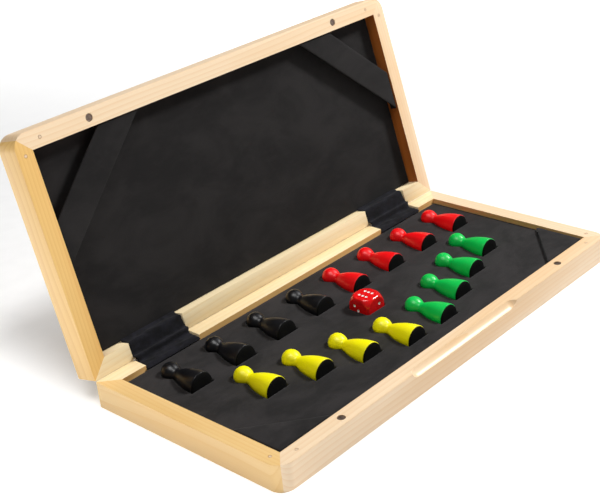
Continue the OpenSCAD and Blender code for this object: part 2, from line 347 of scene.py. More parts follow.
def turned(profile: Sequence[Point], segments: int) -> Mesh:
    """Turns a profile round Z, as on a lathe.

    Args:
        profile: Points of (radius, height), from the axis round to the axis.
        segments: How many steps make the full turn.

    Returns:
        The closed solid.
    """
    bm = bmesh.new()
    verts = [bm.verts.new((radius, 0, height)) for radius, height in profile]
    geom = verts + [bm.edges.new(pair) for pair in zip(verts, verts[1:])]
    how = {"cent": (0, 0, 0), "axis": (0, 0, 1), "angle": 2 * math.pi, "use_merge": True}
    bmesh.ops.spin(bm, geom=geom, steps=segments, **how)
    bmesh.ops.remove_doubles(bm, verts=bm.verts, dist=ONE_POINT)
    bmesh.ops.recalc_face_normals(bm, faces=bm.faces)
    return bm


def ease(
    bm: Mesh,
    width: float,
    chosen: Callable[[Vector, Vector], bool],
    segments: int,
    sharp: float = 35,
) -> None:
    """Rounds the sharp edges that a rule picks out.

    Args:
        bm: The mesh, changed in place.
        width: How far the rounding reaches from each edge.
        chosen: Says, from an edge's two ends, whether it is rounded.
        segments: How many faces make the rounding.
        sharp: The least angle between an edge's faces, in degrees.
    """
    edges = [
        edge
        for edge in bm.edges
        if len(edge.link_faces) == 2
        and edge.calc_face_angle(0) > math.radians(sharp)
        and chosen(edge.verts[0].co, edge.verts[1].co)
    ]
    if edges:
        how = {"offset_type": "OFFSET", "profile": 0.5, "affect": "EDGES", "clamp_overlap": True}
        bmesh.ops.bevel(bm, geom=edges, offset=width, segments=segments, **how)


def moved(bm: Mesh, matrix: Matrix) -> Mesh:
    """Moves a mesh, keeping its faces outwards, and returns it."""
    bm.transform(matrix)
    if matrix.determinant() < 0:
        bmesh.ops.reverse_faces(bm, faces=bm.faces)
    return bm


def arc(middle: Point, radius: float, start: float, turn: float, steps: int) -> list[Point]:
    """Lays points along an arc.

    Args:
        middle: The arc's middle.
        radius: Its radius.
        start: Its first angle, in degrees.
        turn: How far it turns, in degrees.
        steps: How many steps it takes.

    Returns:
        The points, with both ends.
    """
    angles = (math.radians(start + turn * i / steps) for i in range(steps + 1))
    return [(middle[0] + radius * math.cos(a), middle[1] + radius * math.sin(a)) for a in angles]


def softened(path: Sequence[Point], step: float, passes: int) -> list[Point]:
    """Lays points along a line of straight pieces and rounds its corners.

    Args:
        path: The line's corners.
        step: Distance between the new points.
        passes: How often each point moves half way towards its neighbours.

    Returns:
        The new points, which start and end where the line does.
    """
    points: list[Vector] = []
    for start, end in zip(path, path[1:]):
        a, b = Vector(start), Vector(end)
        count = max(1, round((b - a).length / step))
        points += [a.lerp(b, i / count) for i in range(count)]
    points.append(Vector(path[-1]))
    for _ in range(passes):
        runs = zip(points, points[1:], points[2:])
        points[1:-1] = [(before + 2 * here + after) / 4 for before, here, after in runs]
    return [(p.x, p.y) for p in points]


def grid_surface(rows: int, columns: int, place: Callable[[float, float], Vector]) -> Mesh:
    """Builds an open sheet on a grid.

    Args:
        rows: How many cells long.
        columns: How many cells wide.
        place: Gives a point from its shares along and across, both from 0 to 1.

    Returns:
        The sheet.
    """
    bm = bmesh.new()
    verts = [
        [bm.verts.new(place(i / rows, j / columns)) for j in range(columns + 1)]
        for i in range(rows + 1)
    ]
    for near, far in zip(verts, verts[1:]):
        for j in range(columns):
            bm.faces.new((near[j], far[j], far[j + 1], near[j + 1]))
    return bm


def with_skirt(bm: Mesh, low: float, closed: bool) -> Mesh:
    """Drops a surface's rim straight down, and closes the bottom if asked.

    Args:
        bm: The open surface.
        low: Height of the skirt's foot.
        closed: Whether a flat bottom closes it.

    Returns:
        The same mesh.
    """
    rim = [edge for edge in bm.edges if edge.is_boundary]
    made = bmesh.ops.extrude_edge_only(bm, edges=rim)["geom"]
    for item in made:
        if isinstance(item, bmesh.types.BMVert):
            item.co.z = low
    if closed:
        edges = [e for e in made if isinstance(e, bmesh.types.BMEdge) and e.is_boundary]
        bmesh.ops.contextual_create(bm, geom=edges)
    bmesh.ops.recalc_face_normals(bm, faces=bm.faces)
    return bm


def rolling(height: float, swell: float, wave: float, seed: float) -> Height:
    """Returns a function that gives a nearly flat surface's height.

    Args:
        height: Its highest level.
        swell: How far it dips below that.
        wave: Length of its waves.
        seed: Which part of the noise it uses.

    Returns:
        The function.
    """

    def at(x: float, y: float) -> float:
        """Returns the height at a point."""
        return height - swell * (0.5 + 0.5 * noise.noise(Vector((x / wave, y / wave, seed))))

    return at


# ---- Finishes ----


class Graph:
    """A material's nodes, with short calls for what the finishes share."""

    def __init__(self, name: str) -> None:
        """Makes the material and finds its shader."""
        self.material = bpy.data.materials.new(name)
        self.material.use_nodes = True
        self.tree = self.material.node_tree
        self.shader = self.tree.nodes["Principled BSDF"]

    def feed(self, node: bpy.types.Node, inputs: dict[str | int, object]) -> None:
        """Links or sets a node's inputs.

        Args:
            node: The node.
            inputs: For an input's name or number, the output to link or the value to set.
        """
        for key, value in inputs.items():
            socket = node.inputs[key]
            if isinstance(value, Socket):
                self.tree.links.new(value, socket)
            elif isinstance(value, tuple) and len(socket.default_value) == 4:
                socket.default_value = (*value, 1)
            else:
                socket.default_value = value

    def node(self, kind: str, inputs: dict[str | int, object], **settings: object) -> bpy.types.Node:
        """Adds a node.

        Args:
            kind: The node's type in Blender.
            inputs: What its inputs get.
            **settings: Its properties.

        Returns:
            The node.
        """
        node = self.tree.nodes.new(kind)
        configure(node, **settings)
        self.feed(node, inputs)
        return node

    def surface(self, **values: object) -> None:
        """Sets or links inputs of the shader, with _ for each space in their names."""
        self.feed(self.shader, {name.replace("_", " "): value for name, value in values.items()})

    def stock(self, stretch: Triple = (1, 1, 1)) -> Socket:
        """Returns the piece's own coordinates, in metres, each times its stretch."""
        own = self.node("ShaderNodeAttribute", {}, attribute_name=STOCK).outputs["Vector"]
        return self.node("ShaderNodeVectorMath", {0: own, 1: stretch}, operation="MULTIPLY").outputs[0]

    def split(self, where: Socket) -> Sequence[Socket]:
        """Returns the three numbers of a place."""
        return self.node("ShaderNodeSeparateXYZ", {0: where}).outputs

    def noise(
        self,
        where: Socket,
        scale: float,
        detail: float = 3,
        roughness: float = 0.5,
        distortion: float = 0,
    ) -> Socket:
        """Adds a noise.

        Args:
            where: The coordinates.
            scale: How many blobs a metre of them has.
            detail: How many finer layers it has.
            roughness: How strong the finer layers are.
            distortion: How far it swirls.

        Returns:
            The noise, from 0 to 1.
        """
        layers = {"Detail": detail, "Roughness": roughness, "Distortion": distortion}
        inputs = {"Vector": where, "Scale": scale, **layers}
        return self.node("ShaderNodeTexNoise", inputs).outputs["Fac"]

    def maths(self, operation: str, a: object, b: object = 0.0) -> Socket:
        """Returns the result of one sum on two sockets or numbers."""
        return self.node("ShaderNodeMath", {0: a, 1: b}, operation=operation).outputs[0]

    def spread(self, value: Socket, low: float, high: float, to: Point = (0, 1)) -> Socket:
        """Stretches part of a range over another, and stops at its ends.

        Args:
            value: The number that is changed.
            low: What becomes the first end.
            high: What becomes the second end.
            to: The two ends.

        Returns:
            The new number.
        """
        ends = {"From Min": low, "From Max": high, "To Min": to[0], "To Max": to[1]}
        how = {"interpolation_type": "SMOOTHSTEP"}
        return self.node("ShaderNodeMapRange", {"Value": value, **ends}, **how).outputs["Result"]

    def mix(self, share: object, a: object, b: object) -> Socket:
        """Mixes two colours; share says how much of the second there is."""
        return self.node("ShaderNodeMix", {0: share, 6: a, 7: b}, data_type="RGBA").outputs[2]

    def bump(self, height: Socket, strength: float, distance: float) -> None:
        """Raises the surface where a number is high.

        Args:
            height: The number.
            strength: How strongly it shows, from 0 to 1.
            distance: How high a 1 stands, in metres.
        """
        inputs = {"Strength": strength, "Distance": distance, "Height": height}
        earlier = self.shader.inputs["Normal"].links
        if earlier:
            inputs["Normal"] = earlier[0].from_socket
        self.surface(Normal=self.node("ShaderNodeBump", inputs).outputs["Normal"])


@dataclass(frozen=True)
class Timber:
    """Softwood under satin lacquer, with straight growth rings along the board."""

    name: str
    pale: Triple
    deep: Triple
    ring_pitch: float = 2.6 * MM
    pith: Point = (9 * MM, -61 * MM)
    gloss: float = 0.42
    ring_depth: float = 0.42
    drift_depth: float = 0.5
    fibre_depth: float = 0.28
    drift_stretch: Triple = (5, 40, 40)
    wander_stretch: Triple = (3, 18, 18)
    fibre_stretch: Triple = (22, 1900, 1900)
    fleck_stretch: Triple = (120, 2600, 2600)
    wander: float = 5

    def material(self) -> Material:
        """Builds the wood: rings, fibres, flecks and a slow drift of colour."""
        g = Graph(self.name)
        drift = g.noise(g.stock(self.drift_stretch), 1, 3)
        along = g.noise(g.stock(self.wander_stretch), 1, 2)
        fibres = g.noise(g.stock(self.fibre_stretch), 1, 4, 0.7)
        flecks = g.noise(g.stock(self.fleck_stretch), 1, 2, 0.5)
        _, y, z = g.split(g.stock())
        sides = [g.maths("SUBTRACT", value, pith) for value, pith in zip((y, z), self.pith)]
        radius = g.maths("SQRT", g.maths("ADD", *(g.maths("MULTIPLY", v, v) for v in sides)))
        wander = g.maths("MULTIPLY", g.maths("SUBTRACT", along, 0.5), self.wander * self.ring_pitch)
        ring = g.maths("DIVIDE", g.maths("ADD", radius, wander), self.ring_pitch)
        late = g.maths("POWER", g.maths("FRACT", ring), 3.0)
        colour = g.mix(g.maths("MULTIPLY", late, self.ring_depth), self.pale, self.deep)
        colour = g.mix(g.spread(drift, 0.42, 0.75, (0, self.drift_depth)), colour, self.deep)
        colour = g.mix(g.spread(fibres, 0.5, 0.8, (0, self.fibre_depth)), colour, self.deep)
        roughness = g.spread(fibres, 0.3, 0.8, (self.gloss - 0.06, self.gloss + 0.1))
        g.surface(Base_Color=colour, Roughness=roughness, Coat_Weight=0.12, Coat_Roughness=0.3)
        g.bump(g.maths("ADD", fibres, g.maths("MULTIPLY", late, 0.6)), 0.25, 0.06 * MM)
        g.bump(flecks, 0.15, 0.03 * MM)
        return g.material


@dataclass(frozen=True)
class Napped:
    """Brushed cloth, such as suede: a short nap that lies lighter and darker in patches."""

    name: str
    dark: Triple
    light: Triple
    nap: float = 1400
    patches: float = 28
    sheen: float = 0.25
    height: float = 0.12 * MM
    patch_stretch: Triple = (1, 1.5, 1)
    smear_stretch: Triple = (1, 2.2, 1)

    def material(self) -> Material:
        """Builds the cloth: fine nap, brushed patches and a dull sheen."""
        g = Graph(self.name)
        patch = g.noise(g.stock(self.patch_stretch), self.patches, 5, 0.62, 0.6)
        smear = g.noise(g.stock(self.smear_stretch), 4 * self.patches, 4, 0.6)
        nap = g.noise(g.stock(), self.nap, 3, 0.65)
        colour = g.mix(g.spread(patch, 0.36, 0.68), self.dark, self.light)
        colour = g.mix(g.spread(smear, 0.45, 0.75, (0, 0.45)), colour, self.light)
        colour = g.mix(g.spread(nap, 0.45, 0.75, (0, 0.5)), colour, self.light)
        g.surface(Base_Color=colour, Roughness=g.spread(nap, 0.3, 0.7, (0.82, 0.96)))
        g.surface(Sheen_Weight=self.sheen, Sheen_Roughness=0.45, Specular_IOR_Level=0.15)
        g.bump(smear, 0.35, 0.25 * MM)
        g.bump(nap, 0.6, self.height)
        return g.material


@dataclass(frozen=True)
class Lacquer:
    """Sprayed paint on a turned or moulded piece, with a faint orange peel."""

    name: str
    colour: Triple
    shade: Triple
    roughness: float = 0.38
    coat: float = 0.12
    clouds: float = 90
    ripples: float = 700

    def material(self) -> Material:
        """Builds the paint: a slight change of depth, a soft gloss and a fine ripple."""
        g = Graph(self.name)
        cloud = g.noise(g.stock(), self.clouds, 3, 0.5)
        peel = g.noise(g.stock(), self.ripples, 2, 0.5)
        roughness = g.spread(cloud, 0.3, 0.7, (self.roughness - 0.04, self.roughness + 0.06))
        colour = g.mix(g.spread(cloud, 0.35, 0.75), self.colour, self.shade)
        g.surface(Base_Color=colour, Roughness=roughness, Coat_Weight=self.coat)
        g.surface(Coat_Roughness=0.2, Specular_IOR_Level=0.4)
        g.bump(peel, 0.12, 0.05 * MM)
        return g.material


@dataclass(frozen=True)
class Metal:
    """Plated steel with fine scratches and duller spots."""

    name: str
    bright: Triple
    dull: Triple
    roughness: float = 0.32
    spots: float = 420
    scratch_stretch: Triple = (60, 2400, 2400)

    def material(self) -> Material:
        """Builds the plating: spots, scratches and a brushed roughness."""
        g = Graph(self.name)
        spots = g.noise(g.stock(), self.spots, 4, 0.6)
        scratches = g.noise(g.stock(self.scratch_stretch), 1, 3, 0.6)
        roughness = g.spread(scratches, 0.3, 0.7, (self.roughness, self.roughness + 0.2))
        colour = g.mix(g.spread(spots, 0.4, 0.7), self.bright, self.dull)
        g.surface(Base_Color=colour, Metallic=1.0, Roughness=roughness)
        g.bump(scratches, 0.2, 0.02 * MM)
        return g.material


@dataclass(frozen=True)
class Backdrop:
    """The studio's seamless pale paper, with a painted glow behind the box and to its left: it whitens the
    box's shadow on the floor and lights the box's sides from below.
    """

    name: str = "studio_paper"
    colour: Triple = (0.86, 0.86, 0.86)
    tooth: Triple = (0.84, 0.84, 0.84)
    rear_way: Point = (0.724, 0.690)
    rear_run: Point = (0.35, 1.2)
    rear_glow: float = 0.8
    left_edge: Point = (-0.25, -0.13)
    left_end: Point = (-0.8, -0.4)
    left_glow: float = 1.35
    base_glow: float = 0.06

    def material(self) -> Material:
        """Builds the paper: a fine tooth, and a glow behind the box and beside it."""
        g = Graph(self.name)
        where = g.node("ShaderNodeTexCoord", {}).outputs["Object"]
        x, y, _ = g.split(where)
        behind = g.maths("ADD", *(g.maths("MULTIPLY", v, way) for v, way in zip((x, y), self.rear_way)))
        rear = g.spread(behind, *self.rear_run, (self.base_glow, self.rear_glow))
        near = g.spread(x, *self.left_edge, (self.left_glow, 0.0))
        left = g.maths("MULTIPLY", near, g.spread(x, *self.left_end))
        tooth = g.spread(g.noise(where, 60, 2, 0.5), 0.3, 0.7)
        g.surface(Base_Color=g.mix(tooth, self.colour, self.tooth), Roughness=0.9)
        # Painted light: the floor itself glows, faintly everywhere and more behind and beside the box.
        g.surface(Emission_Color=(1.0, 1.0, 1.0), Emission_Strength=g.maths("ADD", rear, left))
        return g.material


LOOKS: tuple[Timber | Napped | Lacquer | Metal, ...] = (
    Timber("pale_pine", (0.87, 0.675, 0.465), (0.76, 0.46, 0.20)),
    Timber("honey_pine", (0.83, 0.53, 0.185), (0.66, 0.33, 0.07), pith=(14 * MM, -48 * MM)),
    Timber("cream_pine", (0.90, 0.745, 0.48), (0.80, 0.56, 0.24), pith=(-6 * MM, -70 * MM)),
    Timber("golden_pine", (0.86, 0.60, 0.27), (0.74, 0.42, 0.12), pith=(4 * MM, -52 * MM)),
    # A darker, more orange copy of the pine for the rails' inner walls: painted shade.
    Timber("inner_pine", (0.80, 0.50, 0.19), (0.62, 0.31, 0.08)),
    # A much darker, redder copy of the pine for the lid's inner walls: deep painted shade.
    Timber("stained_pine", (0.42, 0.13, 0.022), (0.27, 0.07, 0.010)),
    Timber("end_grain", (0.76, 0.57, 0.39), (0.62, 0.42, 0.27), ring_pitch=0.5 * MM),
    Napped("tray_suede", (0.0092, 0.0082, 0.0082), (0.0235, 0.0208, 0.021), sheen=0.15),
    Napped("lid_suede", (0.0078, 0.007, 0.007), (0.0165, 0.0148, 0.0146), patches=20, sheen=0.08),
    Napped("velvet", (0.0012, 0.0012, 0.0018), (0.0085, 0.0082, 0.0125), 1400, 95, 0.1, 0.2 * MM),
    Napped("foam", (0.012, 0.012, 0.012), (0.03, 0.03, 0.03), nap=900, sheen=0.0),
    Napped("foot_felt", (0.001, 0.001, 0.001), (0.003, 0.003, 0.003), nap=2200, sheen=0.0),
    Metal("nickel", (0.36, 0.27, 0.22), (0.20, 0.145, 0.12)),
    Metal("zinc", (0.62, 0.62, 0.64), (0.42, 0.42, 0.44)),
    Lacquer("die_red", (0.80, 0.004, 0.006), (0.68, 0.002, 0.004), roughness=0.2, coat=0.5),
    Lacquer("pip_white", (0.88, 0.87, 0.84), (0.80, 0.79, 0.76), roughness=0.35, coat=0.2),
    Lacquer("black_lacquer", (0.004, 0.004, 0.005), (0.007, 0.007, 0.009), roughness=0.34),
    Lacquer("red_lacquer", (0.95, 0.002, 0.005), (0.87, 0.001, 0.003)),
    Lacquer("yellow_lacquer", (1.0, 0.92, 0.0), (0.98, 0.86, 0.0)),
    Lacquer("green_lacquer", (0.0, 0.58, 0.085), (0.0, 0.51, 0.065)),
)


# ---- Outlines and soft surfaces ----


class Outline(Protocol):
    """A closed outline that can be drawn wider or narrower."""

    def ring(self, grow: float) -> list[Point]:
        """Draws the outline, wider by grow all round, anticlockwise."""

    def inside(self, x: float, y: float, grow: float) -> bool:
        """Says whether a point lies within the outline, wider by grow."""


class Recess(Outline, Protocol):
    """A hollow in the tray: its outline at the tray's surface, and its floor."""

    def floor(self, x: float, y: float) -> float:
        """Returns the floor's height under a point inside the outline."""


@dataclass(frozen=True)
class Rectangle:
    """A rectangle round the origin."""

    length: float
    depth: float
    spacing: float = 4 * MM

    def ring(self, grow: float) -> list[Point]:
        """Draws the outline, wider by grow all round, with evenly spaced points."""
        x, y = self.length / 2 + grow, self.depth / 2 + grow
        return softened([(-x, -y), (x, -y), (x, y), (-x, y), (-x, -y)], self.spacing, 0)[:-1]

    def inside(self, x: float, y: float, grow: float) -> bool:
        """Says whether a point lies within the outline, wider by grow."""
        return abs(x) < self.length / 2 + grow and abs(y) < self.depth / 2 + grow


@dataclass(frozen=True)
class Triangle:
    """A triangle with rounded tips: its corners, anticlockwise, and the radius of its tips."""

    tips: Sequence[Vector]
    corner: float
    spacing: float = 5 * MM
    tip_steps: int = 6

    @property
    def inward(self) -> list[Vector]:
        """The inward direction of the side after each corner."""
        sides = [b - a for a, b in zip(self.tips, [*self.tips[1:], self.tips[0]])]
        return [Vector((-side.y, side.x)).normalized() for side in sides]

    def ring(self, grow: float) -> list[Point]:
        """Draws the outline, wider by grow all round."""
        points: list[Point] = []
        inward, count = self.inward, len(self.tips)
        for i, tip in enumerate(self.tips):
            before, after = inward[i - 1], inward[i]
            # The middle of the tip's arc is as far from both sides as its radius and the inset.
            share = (self.corner - grow) / (1 + before.dot(after))
            middle = tip + share * (before + after)
            start, end = (math.degrees(math.atan2(-way.y, -way.x)) for way in (before, after))
            points += arc(middle, self.corner, start, (end - start) % 360, self.tip_steps)
            side = self.tips[(i + 1) % count] - tip
            pieces = max(2, round(side.length / self.spacing))
            for step in range(2, pieces - 1):
                spot = tip + side * step / pieces - grow * after
                points.append((spot.x, spot.y))
        return points

    def inside(self, x: float, y: float, grow: float) -> bool:
        """Says whether a point lies within the straight sides, wider by grow."""
        ways = zip(self.tips, self.inward)
        return min((Vector((x, y)) - tip).dot(way) for tip, way in ways) > 1e-9 - grow


@dataclass
class PawnRecess:
    """The hollow that a lying pawn fits, from its shape and the middle of its foot."""

    shape: "PawnShape"
    foot: Vector
    tray_top: float
    gap: float = 0.3 * MM
    tuck: float = 0.2 * MM
    samples: int = 44

    def __post_init__(self) -> None:
        """Works out the hollow's half width along the pawn."""
        self.rise = self.foot.z - self.tray_top
        self.ball = self.shape.head / 2 + self.gap
        self.end = self.shape.head_at + math.sqrt(self.ball**2 - self.rise**2)
        shares = [i / (2 * self.samples) for i in range(2 * self.samples + 1)]
        self.stations = [self.end * share - self.gap * (1 - share) for share in shares]
        self.widths = [self.half_width(t) for t in self.stations]

    def half_width(self, t: float) -> float:
        """Returns half the hollow's width at a distance from the foot."""
        radius = self.shape.radius(min(max(t, 0), self.shape.length)) + self.gap
        if t > self.shape.head_at:
            radius = math.sqrt(max(self.ball**2 - (t - self.shape.head_at) ** 2, 0))
        return math.sqrt(max(radius**2 - self.rise**2, 0))

    def grown(self, t: float, grow: float) -> float:
        """Returns half the width of the outline when it is wider by grow."""
        best = 0.0
        for station, width in zip(self.stations, self.widths):
            if abs(station - t) <= grow + 1e-9:
                best = max(best, width + math.sqrt(max(grow**2 - (station - t) ** 2, 0)))
        return best

    def ring(self, grow: float) -> list[Point]:
        """Draws the outline, wider by grow all round, anticlockwise."""
        low, high = self.stations[0] - grow, self.end + grow
        right = []
        for i in range(self.samples + 1):
            t = (low + high) / 2 - (high - low) / 2 * math.cos(math.pi * i / self.samples)
            width = self.grown(t, max(grow, self.tuck)) - (0 if grow else self.tuck)
            right.append((max(width, 0.0), t))
        if right[0][0] > 0:
            right.insert(0, (0.5 * right[0][0], low))
        points = [(self.foot.x + w, self.foot.y + t) for w, t in right]
        return points + [(self.foot.x - w, self.foot.y + t) for w, t in reversed(right) if w > 0]

    def floor(self, x: float, y: float) -> float:
        """Returns the floor's height under a point inside the outline."""
        radius = math.hypot(self.half_width(y - self.foot.y), self.rise)
        return self.foot.z - math.sqrt(max(radius**2 - (x - self.foot.x) ** 2, 0))

    def inside(self, x: float, y: float, grow: float) -> bool:
        """Says whether a point lies within the outline, wider by grow."""
        t, aside = y - self.foot.y, abs(x - self.foot.x)
        beyond = not self.stations[0] - grow < t < self.end + grow
        if beyond or aside > self.shape.foot / 2 + self.gap + grow:
            return False
        return aside < (self.grown(t, grow) if grow > 0 else self.half_width(t) + grow)


@dataclass
class DieRecess:
    """The square hollow that the die fits, from the die's middle and side."""

    middle: Vector
    side: float
    gap: float = 0.3 * MM
    corner: float = 1.6 * MM
    arc_steps: int = 8

    @property
    def half(self) -> float:
        """Half the hollow's width."""
        return self.side / 2 + self.gap

    def ring(self, grow: float) -> list[Point]:
        """Draws the outline, wider by grow all round, anticlockwise."""
        points: list[Point] = []
        centre = self.half - self.corner
        for quarter, (sx, sy) in enumerate(((1, 1), (-1, 1), (-1, -1), (1, -1))):
            middle = (self.middle.x + sx * centre, self.middle.y + sy * centre)
            points += arc(middle, self.corner + grow, 90 * quarter, 90, self.arc_steps)
        return points

    def floor(self, x: float, y: float) -> float:
        """Returns the floor's height, the same all over."""
        return self.middle.z - self.half

    def inside(self, x: float, y: float, grow: float) -> bool:
        """Says whether a point lies within the outline, wider by grow."""
        return max(abs(x - self.middle.x), abs(y - self.middle.y)) < self.half + grow


def staggered(outline: Sequence[Point], step: float) -> Iterable[Point]:
    """Gives the points of a grid over an outline, every other row shifted by half a step.

    Args:
        outline: The outline.
        step: Distance between the points.

    Yields:
        Each point.
    """
    left, front = (min(values) for values in zip(*outline))
    right, rear = (max(values) for values in zip(*outline))
    for row in range(int((rear - front) / step) + 1):
        shift = 0.5 * step * (row % 2)
        for column in range(int((right - left) / step) + 1):
            yield left + shift + column * step, front + row * step


@dataclass
class SoftSurface:
    """A soft top over an outline, rolled at its rim and into its hollows."""

    outline: Outline
    top: Height
    recesses: Sequence[Recess] = ()
    roll: tuple[Point, ...] = SUEDE_ROLL
    spacing: float = 5 * MM
    inner_spacing: float = 1.8 * MM
    rim_margin: float = 0.5 * MM
    floor_margin: float = 0.25 * MM
    points: list[Vector] = field(default_factory=list)
    heights: list[float] = field(default_factory=list)
    edges: list[tuple[int, int]] = field(default_factory=list)

    def add(self, x: float, y: float, height: float) -> None:
        """Adds one point."""
        self.points.append(Vector((x, y)))
        self.heights.append(height)

    def add_roll(self, outline: Outline, way: int) -> None:
        """Adds the rolled edge along an outline, as closed lines of points.

        Args:
            outline: The outline.
            way: 1 if the surface lies outside it, -1 if it lies inside.
        """
        for away, drop in self.roll:
            ring = outline.ring(way * away)
            first, count = len(self.points), len(ring)
            for x, y in ring:
                self.add(x, y, self.top(x, y) - drop)
            self.edges += [(first + i, first + (i + 1) % count) for i in range(count)]

    def add_floor(self, recess: Recess) -> None:
        """Adds the points of a hollow's floor."""
        for x, y in staggered(recess.ring(0), self.inner_spacing):
            if recess.inside(x, y, -self.floor_margin):
                self.add(x, y, min(recess.floor(x, y), self.top(x, y) - self.roll[-1][1]))

    def build(self) -> Mesh:
        """Joins the points into one surface.

        Returns:
            The open surface, facing up.
        """
        self.add_roll(self.outline, -1)
        for recess in self.recesses:
            self.add_roll(recess, 1)
            self.add_floor(recess)
        margin = self.roll[0][0] + self.rim_margin
        for x, y in staggered(self.outline.ring(0), self.spacing):
            clear = self.outline.inside(x, y, -margin)
            if clear and not any(recess.inside(x, y, margin) for recess in self.recesses):
                self.add(x, y, self.top(x, y))
        flat, _, faces, origins, _, _ = delaunay_2d_cdt(self.points, self.edges, [], 0, ONE_POINT)
        bm = bmesh.new()
        verts = []
        for place, origin in zip(flat, origins):
            height = self.heights[origin[0]] if origin else self.top(place.x, place.y)
            verts.append(bm.verts.new((place.x, place.y, height)))
        for face in faces:
            middle = sum((flat[i] for i in face), Vector((0, 0))) / len(face)
            if self.outline.inside(middle.x, middle.y, 0):
                bm.faces.new([verts[i] for i in face])
        loose = [v for v in bm.verts if not v.link_faces]
        bmesh.ops.delete(bm, geom=loose, context="VERTS")
        return bm


# ---- Sub-assemblies ----


@dataclass
class SubAssembly:
    """What the sub-assemblies share: the sizes, the finishes and how a piece is handed over."""

    sizes: CaseSizes
    finishes: dict[str, Material]

    def put(
        self,
        bm: Mesh,
        name: str,
        looks: Sequence[str],
        slot: str,
        nodes: Sequence[str],
        body: str = "",
        place: Matrix = NO_TURN,
        board: Matrix = NO_TURN,
        smooth: float = 35,
    ) -> Object:
        """Sets a finished mesh in its place, with its finishes, and hides the nodes it stands for.

        Args:
            bm: The mesh, drawn in its half's axes.
            name: The piece's name.
            looks: Its finishes, in the order of its faces' numbers.
            slot: The record's slot; not used.
            nodes: The CAD nodes that it replaces.
            body: The body that it rides on, if it rides on one.
            place: The turn from the half's axes into the frame's.
            board: The turn from the half's axes to the stock that the piece is cut from.
            smooth: Edges sharper than this angle stay sharp, in degrees.

        Returns:
            The piece.
        """
        layer = bm.verts.layers.float_vector.new(STOCK)
        for vert in bm.verts:
            vert[layer] = board @ vert.co
        piece = object_from(moved(bm, place), name)
        for look in looks:
            piece.data.materials.append(self.finishes[look])
        piece.data.shade_smooth()
        piece.data.set_sharp_from_angle(angle=math.radians(smooth))
        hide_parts(*nodes)
        if body:
            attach(piece, body)
        LOG.info("%s: %d faces, for %s", name, len(piece.data.polygons), ", ".join(nodes))
        return piece


@dataclass
class HalfPart(SubAssembly):
    """A sub-assembly whose pieces all ride on one half."""

    half: Half

    def fit(
        self, bm: Mesh, name: str, looks: Sequence[str], slot: str, node: str, **how: object
    ) -> Object:
        """Puts a piece on the half; how is passed on to put."""
        return self.put(bm, name, looks, slot, [node], self.half.body, self.half.place, **how)

    def lining(self, top: Height, recesses: Sequence[Recess] = ()) -> Mesh:
        """Builds a soft surface between the half's rails.

        Args:
            top: Gives its height.
            recesses: Its hollows.

        Returns:
            The open surface.
        """
        s = self.sizes
        outline = Rectangle(s.inner_length - 2 * s.soft_gap, s.inner_depth - 2 * s.soft_gap)
        return SoftSurface(outline, top, recesses).build()


@dataclass(frozen=True)
class RimFitting:
    """A kind of round piece let into the rims of a half."""

    name: str
    look: str
    slot: str
    radius: float
    edge: float
    sink: float
    thickness: float
    spots: tuple[Point, ...]
    segments: int = 40

    def middles(self, sizes: CaseSizes) -> list[Vector]:
        """Returns the middles of the pieces at the rim."""
        return [Vector((x, y, sizes.height)) for x, y in self.spots]

    def disc(self, middle: Vector) -> Mesh:
        """Turns one disc or pin, with an eased rim, at its middle at the rim."""
        top, radius, edge = -self.sink, self.radius, self.edge
        profile = [(0, top - self.thickness), (radius, top - self.thickness), (radius, top - edge)]
        profile += [(radius - 0.3 * edge, top - 0.3 * edge), (radius - edge, top)]
        profile += [(0.5 * radius, top), (0, top)]
        return moved(turned(profile, self.segments), Matrix.Translation(middle))


def rim_fittings(sizes: CaseSizes) -> tuple[RimFitting, RimFitting]:
    """Gives the magnets and the corner pins, which are alike in both halves.

    Args:
        sizes: The case's sizes.

    Returns:
        The magnets and the pins.
    """
    front, side, inset = -sizes.depth / 2, sizes.length / 2, sizes.rail / 2
    magnets = tuple((x, front + 6 * MM) for x in (-117 * MM, 117 * MM))
    pins: list[Point] = []
    for end in (-1, 1):
        pins.append((end * (side - 19.5 * MM), front + inset))
        pins.append((end * (side - inset), front + 14 * MM))
    return (
        RimFitting("magnets", "nickel", "magnet", 2.5 * MM, 0.25 * MM, 0.4 * MM, 2 * MM, magnets),
        RimFitting("corner_pins", "end_grain", "pin_wood", 1 * MM, 0.15 * MM, 0, 10 * MM, tuple(pins)),
    )


def side_of(middle: Vector, sizes: CaseSizes) -> Side:
    """Says which rail a fitting stands on.

    Args:
        middle: Its middle at the rim.
        sizes: The case's sizes.

    Returns:
        The rail's side.
    """
    if sizes.depth / 2 + middle.y < sizes.length / 2 - abs(middle.x):
        return Side.FRONT
    return Side.LEFT if middle.x < 0 else Side.RIGHT


class RimFittings(HalfPart):
    """The magnets that hold the case shut, and the pins beside the front mitres."""

    def build(self) -> None:
        """Builds both kinds, each kind as one piece of separate discs or pins."""
        for kind in rim_fittings(self.sizes):
            node = self.half.node(kind.name)
            bm = joined(kind.disc(middle) for middle in kind.middles(self.sizes))
            self.fit(bm, f"{node}_fitted", [kind.look], kind.slot, node)


